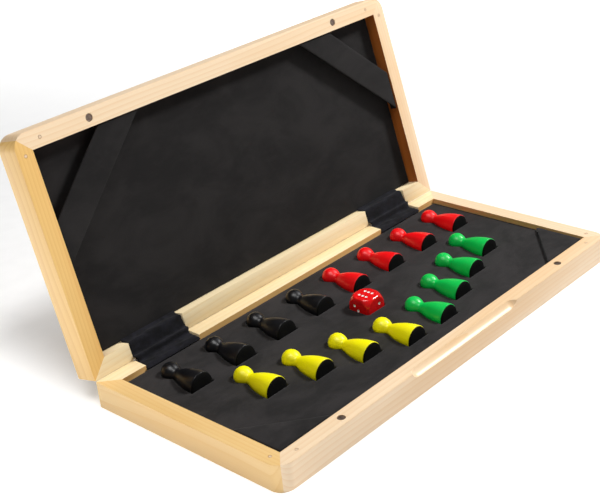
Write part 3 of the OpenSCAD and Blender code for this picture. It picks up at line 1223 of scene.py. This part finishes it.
@dataclass
class RailFrame(HalfPart):
    """The four mitred rails and the panel of one half."""

    edge: float = 0.9 * MM
    fine_edge: float = 0.12 * MM
    arc_steps: int = 14
    eased_corner: float = 1 * MM
    facing: float = 0.7
    meeting_edge: float = 0.25 * MM
    notch_edge: float = 0.2 * MM
    scoop_length: float = 100 * MM
    scoop_radius: float = 8 * MM
    scoop_out: float = 3 * MM
    hole_gap: float = 0.25 * MM
    hole_depth: float = 2.5 * MM
    hole_segments: int = 40
    scoop_steps: int = 24
    scoop_segments: int = 96
    crisp_depth: float = 2 * MM
    rebate_reach: float = 1 * MM
    panel_edge: float = 0.3 * MM
    next_board: Triple = (0.61, 3 * MM, -2 * MM)
    panel_stock: float = 3.1
    spare: float = 1 * MM

    def plan(self, side: Side, along: float, across: float) -> list[Point]:
        """Draws a rail's plan between its mitres, turned to the front.

        Args:
            side: Which rail.
            along: The case's size along the rail.
            across: The case's size across it.

        Returns:
            The outline, anticlockwise: its outer corners are wide in front and only eased behind.
        """
        wide, eased = self.sizes.corner, self.eased_corner
        first = wide if side in (Side.FRONT, Side.RIGHT) else eased
        last = wide if side in (Side.FRONT, Side.LEFT) else eased
        points: list[Point] = []
        for end, start, radius in ((-1, 225, first), (1, 270, last)):
            middle = (end * (along / 2 - radius), radius - across / 2)
            points += arc(middle, radius, start, 45, self.arc_steps)
        inner, reach = self.sizes.rail - across / 2, along / 2 - self.sizes.rail
        return points + [(reach, inner), (-reach, inner)]

    def holes(self, side: Side) -> list[tuple[Vector, float]]:
        """Returns the middle and radius of each round hole in a rail's rim."""
        return [
            (middle, kind.radius + self.hole_gap)
            for kind in rim_fittings(self.sizes)
            for middle in kind.middles(self.sizes)
            if side_of(middle, self.sizes) is side
        ]

    def scoop(self) -> Mesh:
        """Builds the tool that cuts the finger scoop: a long ball along the front edge."""
        s, reach = self.sizes, self.scoop_length / 2
        profile = arc((0, reach), self.scoop_radius, 90, -90, self.scoop_steps)[:-1]
        profile += arc((0, -reach), self.scoop_radius, 0, -90, self.scoop_steps)
        place = Matrix.Translation((0, -s.depth / 2 - self.scoop_out, s.height + self.scoop_out))
        return moved(turned(profile, self.scoop_segments), place @ Matrix.Rotation(math.pi / 2, 4, "Y"))

    def panel_block(self, low: float) -> Mesh:
        """Builds a block as wide as the panel, from a height up to the panel's inner face."""
        x, y = self.sizes.panel_length / 2, self.sizes.panel_depth / 2
        return block((-x, -y, low), (x, y, self.sizes.panel))

    def cutters(self, side: Side, turn: Matrix) -> list[Mesh]:
        """Lists what is cut out of a rail, in the rail's own axes.

        Args:
            side: The rail.
            turn: The turn from the rail's axes to the half's.

        Returns:
            The tools.
        """
        s, spare, deep = self.sizes, self.spare, self.hole_depth
        tools = [self.panel_block(-spare)]
        if side is Side.REAR:
            for x in (-s.hinge_x, s.hinge_x):
                low = (x - s.notch_width / 2, s.rear_face - spare, s.height - s.notch_depth)
                high = (x + s.notch_width / 2, s.depth / 2 + spare, s.height + spare)
                tools.append(block(low, high))
        if side is Side.FRONT and self.half.body == "base":
            tools.append(self.scoop())
        for middle, radius in self.holes(side):
            profile = [(0, -deep), (radius, -deep), (radius, spare), (0, spare)]
            drill = turned(profile, self.hole_segments)
            tools.append(moved(drill, Matrix.Translation(middle)))
        return [moved(tool, turn.inverted()) for tool in tools]

    def rail(self, side: Side, looks: Sequence[str], offset: Vector) -> None:
        """Builds one rail.

        Args:
            side: Which rail.
            looks: Its wood, and the wood of its inner wall, mostly a darker copy that paints the wall's
                shade.
            offset: Where the board came out of the stock, so that no two look alike.
        """
        s = self.sizes
        lengthwise = side in (Side.FRONT, Side.REAR)
        along, across = (s.length, s.depth) if lengthwise else (s.depth, s.length)
        turn = Matrix.Rotation(math.radians(side.value), 4, "Z")
        holes = [((turn.inverted() @ m).xy, radius + CLEAR) for m, radius in self.holes(side)]
        rear, outer = side is Side.REAR, -across / 2

        def on_mitre(*ends: Vector) -> bool:
            """Says whether points lie in the two mitres."""
            return all(abs((along / 2 - abs(p.x)) - (p.y - outer)) < 2 * NEAR for p in ends)

        def in_hole(*ends: Vector) -> bool:
            """Says whether points lie on the holes' walls."""
            return all(any((p.xy - m).length < reach for m, reach in holes) for p in ends)

        def in_notch(*ends: Vector) -> bool:
            """Says whether points lie on the walls of the hinge notches."""
            reach, low = s.notch_width / 2 + NEAR, s.height - s.notch_depth - NEAR
            return rear and all(abs(abs(p.x) - s.hinge_x) < reach and p.z > low for p in ends)

        def meeting(a: Vector, b: Vector) -> bool:
            """Picks the rear rail's rim where the halves meet at the hinge."""
            return rear and max(a.y, b.y) < NEAR + outer and min(a.z, b.z) > s.height - NEAR

        def crisp(a: Vector, b: Vector) -> bool:
            """Picks the mitres and the holes' rims, which stay nearly sharp."""
            return min(a.z, b.z) > s.height - self.crisp_depth and (on_mitre(a, b) or in_hole(a, b))

        def worn(a: Vector, b: Vector) -> bool:
            """Picks the edges that hands have worn: not mitres, holes or the rebate."""
            rebate = max(a.z, b.z) <= s.panel + CLEAR and min(a.y, b.y) > outer + self.rebate_reach
            fitted = on_mitre(a, b) or in_hole(a, b) or in_notch(a, b) or meeting(a, b)
            return not (rebate or fitted)

        bm = cut_from(prism(self.plan(side, along, across), 0, s.height), self.cutters(side, turn))
        bmesh.ops.remove_doubles(bm, verts=bm.verts, dist=0.5 * NEAR)
        ease(bm, self.edge, worn, 4)
        ease(bm, self.meeting_edge, meeting, 2)
        ease(bm, self.notch_edge, in_notch, 2, 60)
        ease(bm, self.fine_edge, crisp, 1)
        # The inner wall's faces take the second wood, which paints the wall's shade.
        inner_wall = s.rail - across / 2 - self.edge
        for face in bm.faces:
            if face.normal.y > self.facing and face.calc_center_median().y > inner_wall:
                face.material_index = 1
        node = self.half.node(f"{side.name.lower()}_rail")
        board = Matrix.Translation(offset) @ turn.inverted()
        self.fit(moved(bm, turn), f"{node}_board", looks, "case_wood", node, board=board)

    def build(self) -> None:
        """Builds the rails and the panel, each from its own board."""
        # inner and rear_inner are the inner walls' woods: darker copies of the pine that paint the walls'
        # shade, deepest in the lid, whose rear wall keeps cream pine.
        warm, inner, rear_inner, start = "golden_pine", "inner_pine", "inner_pine", 0.0
        if self.half.body == "lid":
            warm, inner, rear_inner, start = "honey_pine", "stained_pine", "cream_pine", 1.7
        woods = {
            Side.FRONT: ("pale_pine", inner),
            Side.REAR: ("cream_pine", rear_inner),
            Side.LEFT: (warm, inner),
            Side.RIGHT: ("pale_pine", inner),
        }
        for number, (side, looks) in enumerate(woods.items()):
            along, across, up = (step * number for step in self.next_board)
            self.rail(side, looks, Vector((start + along, across, up)))
        panel, node = self.panel_block(0), self.half.node("panel")
        ease(panel, self.panel_edge, lambda a, b: True, 2)
        board = Matrix.Translation((start + self.panel_stock, 0, 0))
        self.fit(panel, f"{node}_board", ["pale_pine"], "case_wood", node, board=board)


@dataclass
class Tray(HalfPart):
    """The lower half's tray: its foam, the suede over it and the two corner pads."""

    recesses: Sequence[Recess]
    suede: float = 0.8 * MM
    foam_gap: float = 0.15 * MM
    swell: float = 0.25 * MM
    wave: float = 38 * MM
    seed: float = 4.0
    skirt_foot: float = 5 * MM
    turn_down: float = 4 * MM
    pad_x: float = 48 * MM
    pad_y: float = 42.5 * MM
    pad_corner: float = 0.9 * MM
    pad_gap: float = 1.4 * MM
    pad_swell: float = 0.2 * MM
    pad_wave: float = 20 * MM
    pad_seed: float = 9.0

    def surface(self) -> Mesh:
        """Builds the tray's top, which dips into every hollow."""
        top = rolling(self.sizes.tray_top, self.swell, self.wave, self.seed)
        return self.lining(top, self.recesses)

    def build(self) -> None:
        """Builds the suede, the foam and the pads."""
        s = self.sizes
        cloth = thickened(with_skirt(self.surface(), s.panel + self.skirt_foot, False), self.suede)
        suede = self.fit(cloth, "tray_suede_cover", ["tray_suede"], "suede", "tray_suede")
        core = moved(self.surface(), Matrix.Translation((0, 0, -self.suede - self.foam_gap)))
        core = with_skirt(core, s.panel + CLEAR, True)
        foam = self.fit(core, "tray_foam_block", ["foam"], "foam", "tray_foam")
        pair = joined(self.pad(end) for end in (-1, 1))
        pads = self.fit(pair, "corner_pad_pair", ["tray_suede"], "suede", "corner_pads")

    def pad(self, end: int) -> Mesh:
        """Builds one pad: a crowned triangle with rolled edges.

        Args:
            end: -1 for the left pad, 1 for the right one.

        Returns:
            The closed pad.
        """
        s, gap = self.sizes, self.pad_gap
        corner = Vector((end * (s.inner_length / 2 - gap), gap - s.inner_depth / 2))
        aside = corner + Vector((-end * (self.pad_x - 2 * gap), 0))
        behind = corner + Vector((0, self.pad_y - 2 * gap))
        tips = [corner, behind, aside] if end > 0 else [corner, aside, behind]
        top = rolling(s.soft_top, self.pad_swell, self.pad_wave, self.pad_seed + end)
        pad = SoftSurface(Triangle(tips, self.pad_corner), top, (), PAD_ROLL).build()
        return with_skirt(pad, s.tray_top, True)


@dataclass
class LidLining(HalfPart):
    """The upper half's suede liner and the two straps that hold a folded board."""

    swell: float = 0.3 * MM
    wave: float = 55 * MM
    seed: float = 2.0
    strap_start: Point = (52 * MM, 48 * MM)
    strap_width: Point = (33 * MM, 29 * MM)
    strap_across: float = 38 * MM
    strap_sink: float = 1 * MM
    strap_sag: float = 0.35 * MM
    strap_thickness: float = 1.2 * MM
    strap_edge: float = 0.3 * MM
    strap_steps: int = 14
    strap_columns: int = 10
    tab: float = 6 * MM
    tab_gap: float = 0.15 * MM
    bend: float = 1.3 * MM
    bend_steps: int = 6

    def build(self) -> None:
        """Builds the liner, and both straps as one piece."""
        s = self.sizes
        surface = self.lining(rolling(s.liner_top, self.swell, self.wave, self.seed))
        board = with_skirt(surface, s.panel + CLEAR, True)
        liner = self.fit(board, "lid_liner_board", ["lid_suede"], "suede", "lid_liner")
        pair = joined(self.strap(end) for end in (-1, 1))
        name, node = "corner_strap_pair", "corner_straps"
        straps = self.fit(pair, name, ["lid_suede"], "suede", node, smooth=60)

    def strap_route(self) -> list[Point]:
        """Draws a strap from rail to rail: distance from its rail's wall, and height.

        Returns:
            The first half of the route, from the tab's foot to the open stretch.
        """
        top, wall = self.sizes.height - self.strap_sink, self.tab_gap
        foot = [(wall, top - self.tab), (wall, top - 0.5 * self.tab)]
        return foot + arc((wall + self.bend, top - self.bend), self.bend, 180, -90, self.bend_steps)

    def strap(self, end: int) -> Mesh:
        """Builds one strap.

        Args:
            end: -1 for the left strap, 1 for the right one.

        Returns:
            The closed strap.
        """
        s, route = self.sizes, self.strap_route()
        reach, top = route[-1]
        rows = 2 * len(route) + self.strap_steps - 1

        def spot(u: float, v: float) -> Vector:
            """Places a point from its shares along the strap and across it."""
            along = round(u * rows)
            x, y = (start + v * width for start, width in zip(self.strap_start, self.strap_width))
            if along < len(route):
                wall, z = route[along]
                share = wall / y
            elif along < len(route) + self.strap_steps:
                step = (along - len(route) + 1) / (self.strap_steps + 1)
                share = reach / y + step * (1 - reach / x - reach / y)
                z = top - self.strap_sag * math.sin(math.pi * step)
            else:
                wall, z = route[rows - along]
                share = 1 - wall / x
            return Vector((end * (s.inner_length / 2 - x * (1 - share)), y * share - s.inner_depth / 2, z))

        bm = grid_surface(rows, self.strap_columns, spot)
        if end < 0:
            bmesh.ops.reverse_faces(bm, faces=bm.faces)
        return thickened(bm, self.strap_thickness, self.strap_edge)


@dataclass
class Hinges(SubAssembly):
    """The two let-in hinges and the velvet covers that bridge the halves over them."""

    base: Half
    lid: Half
    lower_reach: float = 0.8 * MM
    upper_reach: float = 1.5 * MM
    back: float = 2.7 * MM
    over_pin: float = 4.2 * MM
    cloth: float = 0.9 * MM
    cloth_edge: float = 0.25 * MM
    step: float = 0.8 * MM
    crease: float = 0.8 * MM
    fold_waves: Point = (11 * MM, 3.2 * MM)
    fold_seeds: Point = (7, 3.0)
    columns: int = 44
    end_rows: int = 4
    crease_rows: int = 2
    calm_rows: int = 7
    side_drop: float = 0.9 * MM
    side_roll: float = 0.9 * MM
    steel: tuple[str, ...] = ("base_leaves", "lid_leaves", "pins", "base_screws", "lid_screws")

    def half_section(self, lining: float, reach: float) -> list[Point]:
        """Draws the cover's surface over one half, from its skirt to its back edge.

        Args:
            lining: Height of the half's lining.
            reach: How far the skirt runs out over the lining.

        Returns:
            Points of (y, z) in the half's axes.
        """
        s = self.sizes
        front, foot = s.rear_face - reach, lining + s.soft_gap + self.cloth
        return [
            (front - 0.3 * MM, foot - 0.5 * self.cloth),
            (front + 0.5 * MM, foot + 0.3 * MM),
            (s.rear_face - 0.2 * MM, s.soft_top - 0.6 * MM),
            (s.rear_face + 1.5 * MM, s.soft_top),
            (s.depth / 2 - self.back, s.soft_top),
        ]

    def section(self) -> list[Vector]:
        """Draws the whole cover's surface.

        Returns:
            Points of (y, z), from the tray over the hinge to the liner.
        """
        lower = [Vector(p) for p in self.half_section(self.sizes.tray_top, self.lower_reach)]
        upper = [
            (self.lid.place @ Vector((0, y, z))).yz
            for y, z in self.half_section(self.sizes.liner_top, self.upper_reach)
        ]
        ways = [(half[-1] - PIN.yz).normalized() for half in (lower, upper)]
        over = PIN.yz + self.over_pin * (ways[0] + ways[1]).normalized()
        return [Vector(p) for p in softened([*lower, over, *reversed(upper)], self.step, 3)]

    def cover(self, end: int) -> None:
        """Builds one velvet cover, creased where it folds.

        Args:
            end: -1 for the left cover, 1 for the right one.
        """
        s, line = self.sizes, self.section()
        rows = len(line) - 1
        half_width = s.notch_width / 2 - s.soft_gap
        fold_row = min(range(rows + 1), key=lambda i: (line[i] - PIN.yz).length)

        def spot(u: float, v: float) -> Vector:
            """Places a point of the cover, creased and rolled down at its two sides."""
            i = round(u * rows)
            x = (2 * v - 1) * half_width
            roll = self.side_drop * max(0, 1 - (half_width - abs(x)) / self.side_roll) ** 2
            (wide, long), (apart, depth) = self.fold_waves, self.fold_seeds
            where = Vector((x / wide + apart * end, self.step * i / long, depth))
            fold = noise.noise(where) + 0.5 * noise.noise(2.3 * where)
            from_fold = max(0, abs(i - fold_row) - self.crease_rows)
            calm = min(1, i / self.end_rows, (rows - i) / self.end_rows, from_fold / self.calm_rows)
            run = line[min(i + 1, rows)] - line[max(i - 1, 0)]
            outward = Vector((-run.y, run.x)).normalized()
            place = line[i] - calm * (roll + self.crease * (0.5 - 0.5 * fold)) * outward
            return Vector((end * s.hinge_x + x, place.x, place.y))

        bm = grid_surface(rows, self.columns, spot)
        bmesh.ops.reverse_faces(bm, faces=bm.faces)
        name = "left_hinge_cover" if end < 0 else "right_hinge_cover"
        nodes = ["hinge_base_covers", "hinge_lid_covers"]
        cloth = thickened(bm, self.cloth, self.cloth_edge)
        cover = self.put(cloth, name, ["velvet"], "velvet", nodes, smooth=70)
        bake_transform(cover)

    def build(self) -> None:
        """Builds the covers, and plates the steel, whose CAD pieces stay in view."""
        for end in (-1, 1):
            self.cover(end)
        for name in self.steel:
            data = frame["nodes"][f"hinge_{name}"].data
            stock = data.attributes.new(STOCK, "FLOAT_VECTOR", "POINT")
            for i, vert in enumerate(data.vertices):
                stock.data[i].vector = vert.co
            data.materials.clear()
            data.materials.append(self.finishes["zinc"])
            LOG.info("hinge_%s: kept, in zinc", name)


# ---- Pawns and die ----


@dataclass(frozen=True)
class PawnShape:
    """The turned shape of a pawn, standing on its foot at the origin."""

    foot: float = box_size("black_pawn_1").x
    length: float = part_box("black_pawn_1")[1].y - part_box("black_pawn_felt_1")[0].y
    felt: float = box_size("black_pawn_felt_1").y
    felt_radius: float = box_size("black_pawn_felt_1").x / 2
    head: float = 13 * MM
    neck: float = 8 * MM
    neck_at: float = 22.5 * MM
    foot_edge: float = 0.35 * MM
    blend: float = 2.6 * MM
    steps: int = 40
    segments: int = 56

    @property
    def head_at(self) -> float:
        """Distance from the foot to the middle of the head."""
        return self.length - self.head / 2

    def radius(self, t: float) -> float:
        """Returns the pawn's radius at a distance from its foot.

        Args:
            t: The distance.

        Returns:
            The radius of the bell, neck or head there, run softly into one another.
        """
        drop = (self.foot - self.neck) / 2
        bell = (self.neck_at**2 + drop**2) / (2 * drop)
        body = self.foot / 2 - bell + math.sqrt(max(bell**2 - t**2, 0))
        body = max(body, self.neck / 2)
        ball = math.sqrt(max((self.head / 2) ** 2 - (t - self.head_at) ** 2, 0))
        high, low = max(body, ball), min(body, ball)
        join = max(self.blend - (high - low), 0) / self.blend
        return high + self.blend * join**2 / 4 if t < self.head_at else ball

    def body(self) -> Mesh:
        """Turns the painted body, from above the felt to the top of the head."""
        edge, rim, felt = self.foot_edge, self.foot / 2, self.felt
        profile = [(0, felt), *arc((rim - edge, felt + edge), edge, -90, 90, 4)]
        start = felt + edge + 0.3 * MM
        run = self.head_at - start
        heights = [start + run * i / self.steps for i in range(self.steps + 1)]
        profile += [(self.radius(t), t) for t in heights]
        profile += arc((0, self.head_at), self.head / 2, 0, 90, 16)[1:-1]
        return turned([*profile, (0, self.length)], self.segments)

    def felt_disc(self) -> Mesh:
        """Turns the felt under the foot, with a soft rim."""
        rim, thick, soft = self.felt_radius, self.felt, 0.35 * self.felt
        profile = [(0, 0), (0.6 * rim, 0), (rim - soft, 0), (rim - 0.3 * soft, 0.3 * soft)]
        return turned([*profile, (rim, soft), (rim, thick), (0, thick)], self.segments)


@dataclass
class Pawns(SubAssembly):
    """The sixteen lying pawns, each with its felt."""

    shape: PawnShape
    count: int = 4
    spin_step: float = 0.9
    stock_step: float = 0.1

    def foot(self, word: str, number: int) -> Vector:
        """Returns the middle of a lying pawn's foot."""
        middle = box_middle(f"{word}_pawn_{number}")
        return Vector((middle.x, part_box(f"{word}_pawn_felt_{number}")[0].y, middle.z))

    def everyone(self) -> list[tuple[str, int]]:
        """Returns each pawn's colour and number."""
        return [(c.value, number) for c in PawnColour for number in range(1, self.count + 1)]

    def recesses(self) -> list[Recess]:
        """Returns the hollows that the pawns lie in."""
        top = self.sizes.tray_top
        return [PawnRecess(self.shape, self.foot(*pawn), top) for pawn in self.everyone()]

    def build(self) -> None:
        """Turns each pawn and its felt, and lays them in their hollows."""
        lying = Matrix.Rotation(-math.pi / 2, 4, "X")
        for order, (word, number) in enumerate(self.everyone()):
            body, pawn, felt = (f"{word}_{kind}{number}" for kind in ("", "pawn_", "pawn_felt_"))
            spin = Matrix.Rotation(self.spin_step * order, 4, "Z")
            place = Matrix.Translation(self.foot(word, number)) @ lying @ spin
            board = Matrix.Translation((self.stock_step * order, 0, 0))
            how = {"body": body, "place": place, "board": board}
            looks, slot = [f"{word}_lacquer"], f"{word}_paint"
            self.put(self.shape.body(), f"{pawn}_turned", looks, slot, [pawn], **how, smooth=50)
            disc, looks, slot = self.shape.felt_disc(), ["foot_felt"], "foot_felt"
            self.put(disc, f"{felt}_disc", looks, slot, [felt], **how, smooth=50)


@dataclass
class Die(SubAssembly):
    """The red die, its corners rounded by a ball, with painted pips."""

    side: float = box_size("die").x
    ball: float = 0.69
    edge_power: float = 14
    mesh_steps: int = 26
    pip_pitch: float = 6.2 * MM
    pip_radius: float = 1.2 * MM
    pip_depth: float = 0.6 * MM
    pip_mesh: tuple[int, int] = (24, 16)
    faces: tuple[tuple[int, str, float], ...] = (
        (6, "X", 0),
        (1, "X", 180),
        (2, "X", 90),
        (5, "X", -90),
        (3, "Y", -90),
        (4, "Y", 90),
    )

    def recess(self) -> Recess:
        """Returns the hollow that the die lies in."""
        return DieRecess(box_middle("die"), self.side)

    def blank(self) -> Mesh:
        """Builds the die without its pips: a cube met by a ball, with softened edges."""
        bm = bmesh.new()
        bmesh.ops.create_cube(bm, size=2)
        bmesh.ops.subdivide_edges(bm, edges=bm.edges, cuts=self.mesh_steps, use_grid_fill=True)
        power = self.edge_power
        for vert in bm.verts:
            way = Vector(math.tan(0.25 * math.pi * c) for c in vert.co).normalized()
            cube = self.side / 2 / sum(abs(c) ** power for c in way) ** (1 / power)
            vert.co = way * min(cube, self.ball * self.side - 2 * NEAR)
        return bm

    def pip_spots(self, count: int) -> list[Point]:
        """Returns where a face's pips stand, in units of half the pitch."""
        pairs = ((1, (1, 1)), (3, (1, -1)), (5, (1, 0)))
        spots: list[Point] = [(0, 0)] if count % 2 else []
        for least, (x, y) in pairs:
            if count > least:
                spots += [(x, y), (-x, -y)]
        return spots

    def build(self) -> None:
        """Cuts and paints the pips, and lays the die in its hollow."""
        cutters = []
        height, half_pitch = self.side / 2 + self.pip_radius - self.pip_depth, self.pip_pitch / 2
        for count, axis, angle in self.faces:
            turn = Matrix.Rotation(math.radians(angle), 4, axis)
            for x, y in self.pip_spots(count):
                tool = bmesh.new()
                u, v = self.pip_mesh
                bmesh.ops.create_uvsphere(tool, u_segments=u, v_segments=v, radius=self.pip_radius)
                for face in tool.faces:
                    face.material_index = 1
                spot = Matrix.Translation((x * half_pitch, y * half_pitch, height))
                cutters.append(moved(tool, turn @ spot))
        bm = cut_from(self.blank(), cutters)
        place = Matrix.Translation(box_middle("die"))
        self.put(bm, "die_cube", ["die_red", "pip_white"], "die_red", ["die"], "dice", place, smooth=40)


# ---- Studio ----


@dataclass(frozen=True)
class Viewpoint:
    """Where the photograph was taken from: the place, the axes and the lens."""

    place: Triple = (-0.55654, -0.50934, 0.42532)
    right: Triple = (0.65796, -0.74794, -0.08763)
    down: Triple = (-0.35960, -0.20982, -0.90921)
    forward: Triple = (0.66165, 0.62973, -0.40701)
    focal_px: float = 1242.3
    axis_px: Point = (40.0, -36.0)
    image_width_px: float = 600.0
    film: float = 36.0
    clip: float = 0.01

    def build(self) -> None:
        """Builds the camera, with the lens's axis off the picture's middle as in the photograph."""
        lens = bpy.data.cameras.new("camera")
        width = self.image_width_px
        configure(lens, sensor_fit="HORIZONTAL", sensor_width=self.film, clip_start=self.clip)
        configure(lens, lens=self.focal_px * self.film / width)
        configure(lens, shift_x=-self.axis_px[0] / width, shift_y=self.axis_px[1] / width)
        right, down, forward = (Vector(v).normalized() for v in (self.right, self.down, self.forward))
        turn = Matrix((right, -down, -forward)).transposed().to_4x4()
        bpy.context.scene.camera = placed("camera", lens, Matrix.Translation(self.place) @ turn)


@dataclass(frozen=True)
class SoftLight:
    """A soft round light: where it stands, its size, its power and the point it is turned to."""

    name: str
    place: Triple
    size: float
    power: float
    aim: Triple = (0, 0.02, 0.05)

    def build(self) -> None:
        """Builds the light."""
        lamp = bpy.data.lights.new(self.name, "AREA")
        configure(lamp, shape="DISK", size=self.size, energy=self.power)
        way = Vector(self.aim) - Vector(self.place)
        turn = way.to_track_quat("-Z", "Y").to_matrix().to_4x4()
        placed(self.name, lamp, Matrix.Translation(self.place) @ turn)


@dataclass
class Studio:
    """The floor, the lights and the camera."""

    floor_reach: float = 4.0
    floor_level: float = -0.05 * MM
    floor_cells: int = 16
    surround: float = 0.1
    lights: tuple[SoftLight, ...] = (
        SoftLight("key_right", (1.15, -0.45, 1.2), 0.32, 29),
        SoftLight("top", (-0.5, -0.1, 1.8), 1.0, 17),
    )

    def build(self) -> None:
        """Builds the studio round the box."""
        Viewpoint().build()
        reach, level, cells = self.floor_reach, self.floor_level, self.floor_cells
        sheet = grid_surface(
            cells, cells, lambda u, v: Vector(((2 * u - 1) * reach, (2 * v - 1) * reach, level))
        )
        floor = object_from(sheet, "studio_floor")
        floor.data.materials.append(Backdrop().material())
        for light in self.lights:
            light.build()
        world = bpy.data.worlds.new("studio")
        world.use_nodes = True
        shade = world.node_tree.nodes["Background"]
        shade.inputs["Color"].default_value = (1, 1, 1, 1)
        shade.inputs["Strength"].default_value = self.surround
        bpy.context.scene.world = world
        bpy.context.scene.view_settings.view_transform = "Standard"
        LOG.info("studio: %d lights", len(self.lights))


# ---- The box ----


def main() -> None:
    """Builds every sub-assembly in order."""
    logging.basicConfig(level=logging.INFO, format="%(relativeCreated)6d ms %(message)s")
    shared = (CaseSizes(), {look.name: look.material() for look in LOOKS})
    base, lid = open_halves()
    Studio().build()
    for half in (base, lid):
        RailFrame(*shared, half).build()
        RimFittings(*shared, half).build()
    pawns = Pawns(*shared, PawnShape())
    die = Die(*shared)
    Tray(*shared, base, [*pawns.recesses(), die.recess()]).build()
    LidLining(*shared, lid).build()
    Hinges(*shared, base, lid).build()
    pawns.build()
    die.build()


if __name__ == "__main__":
    main()
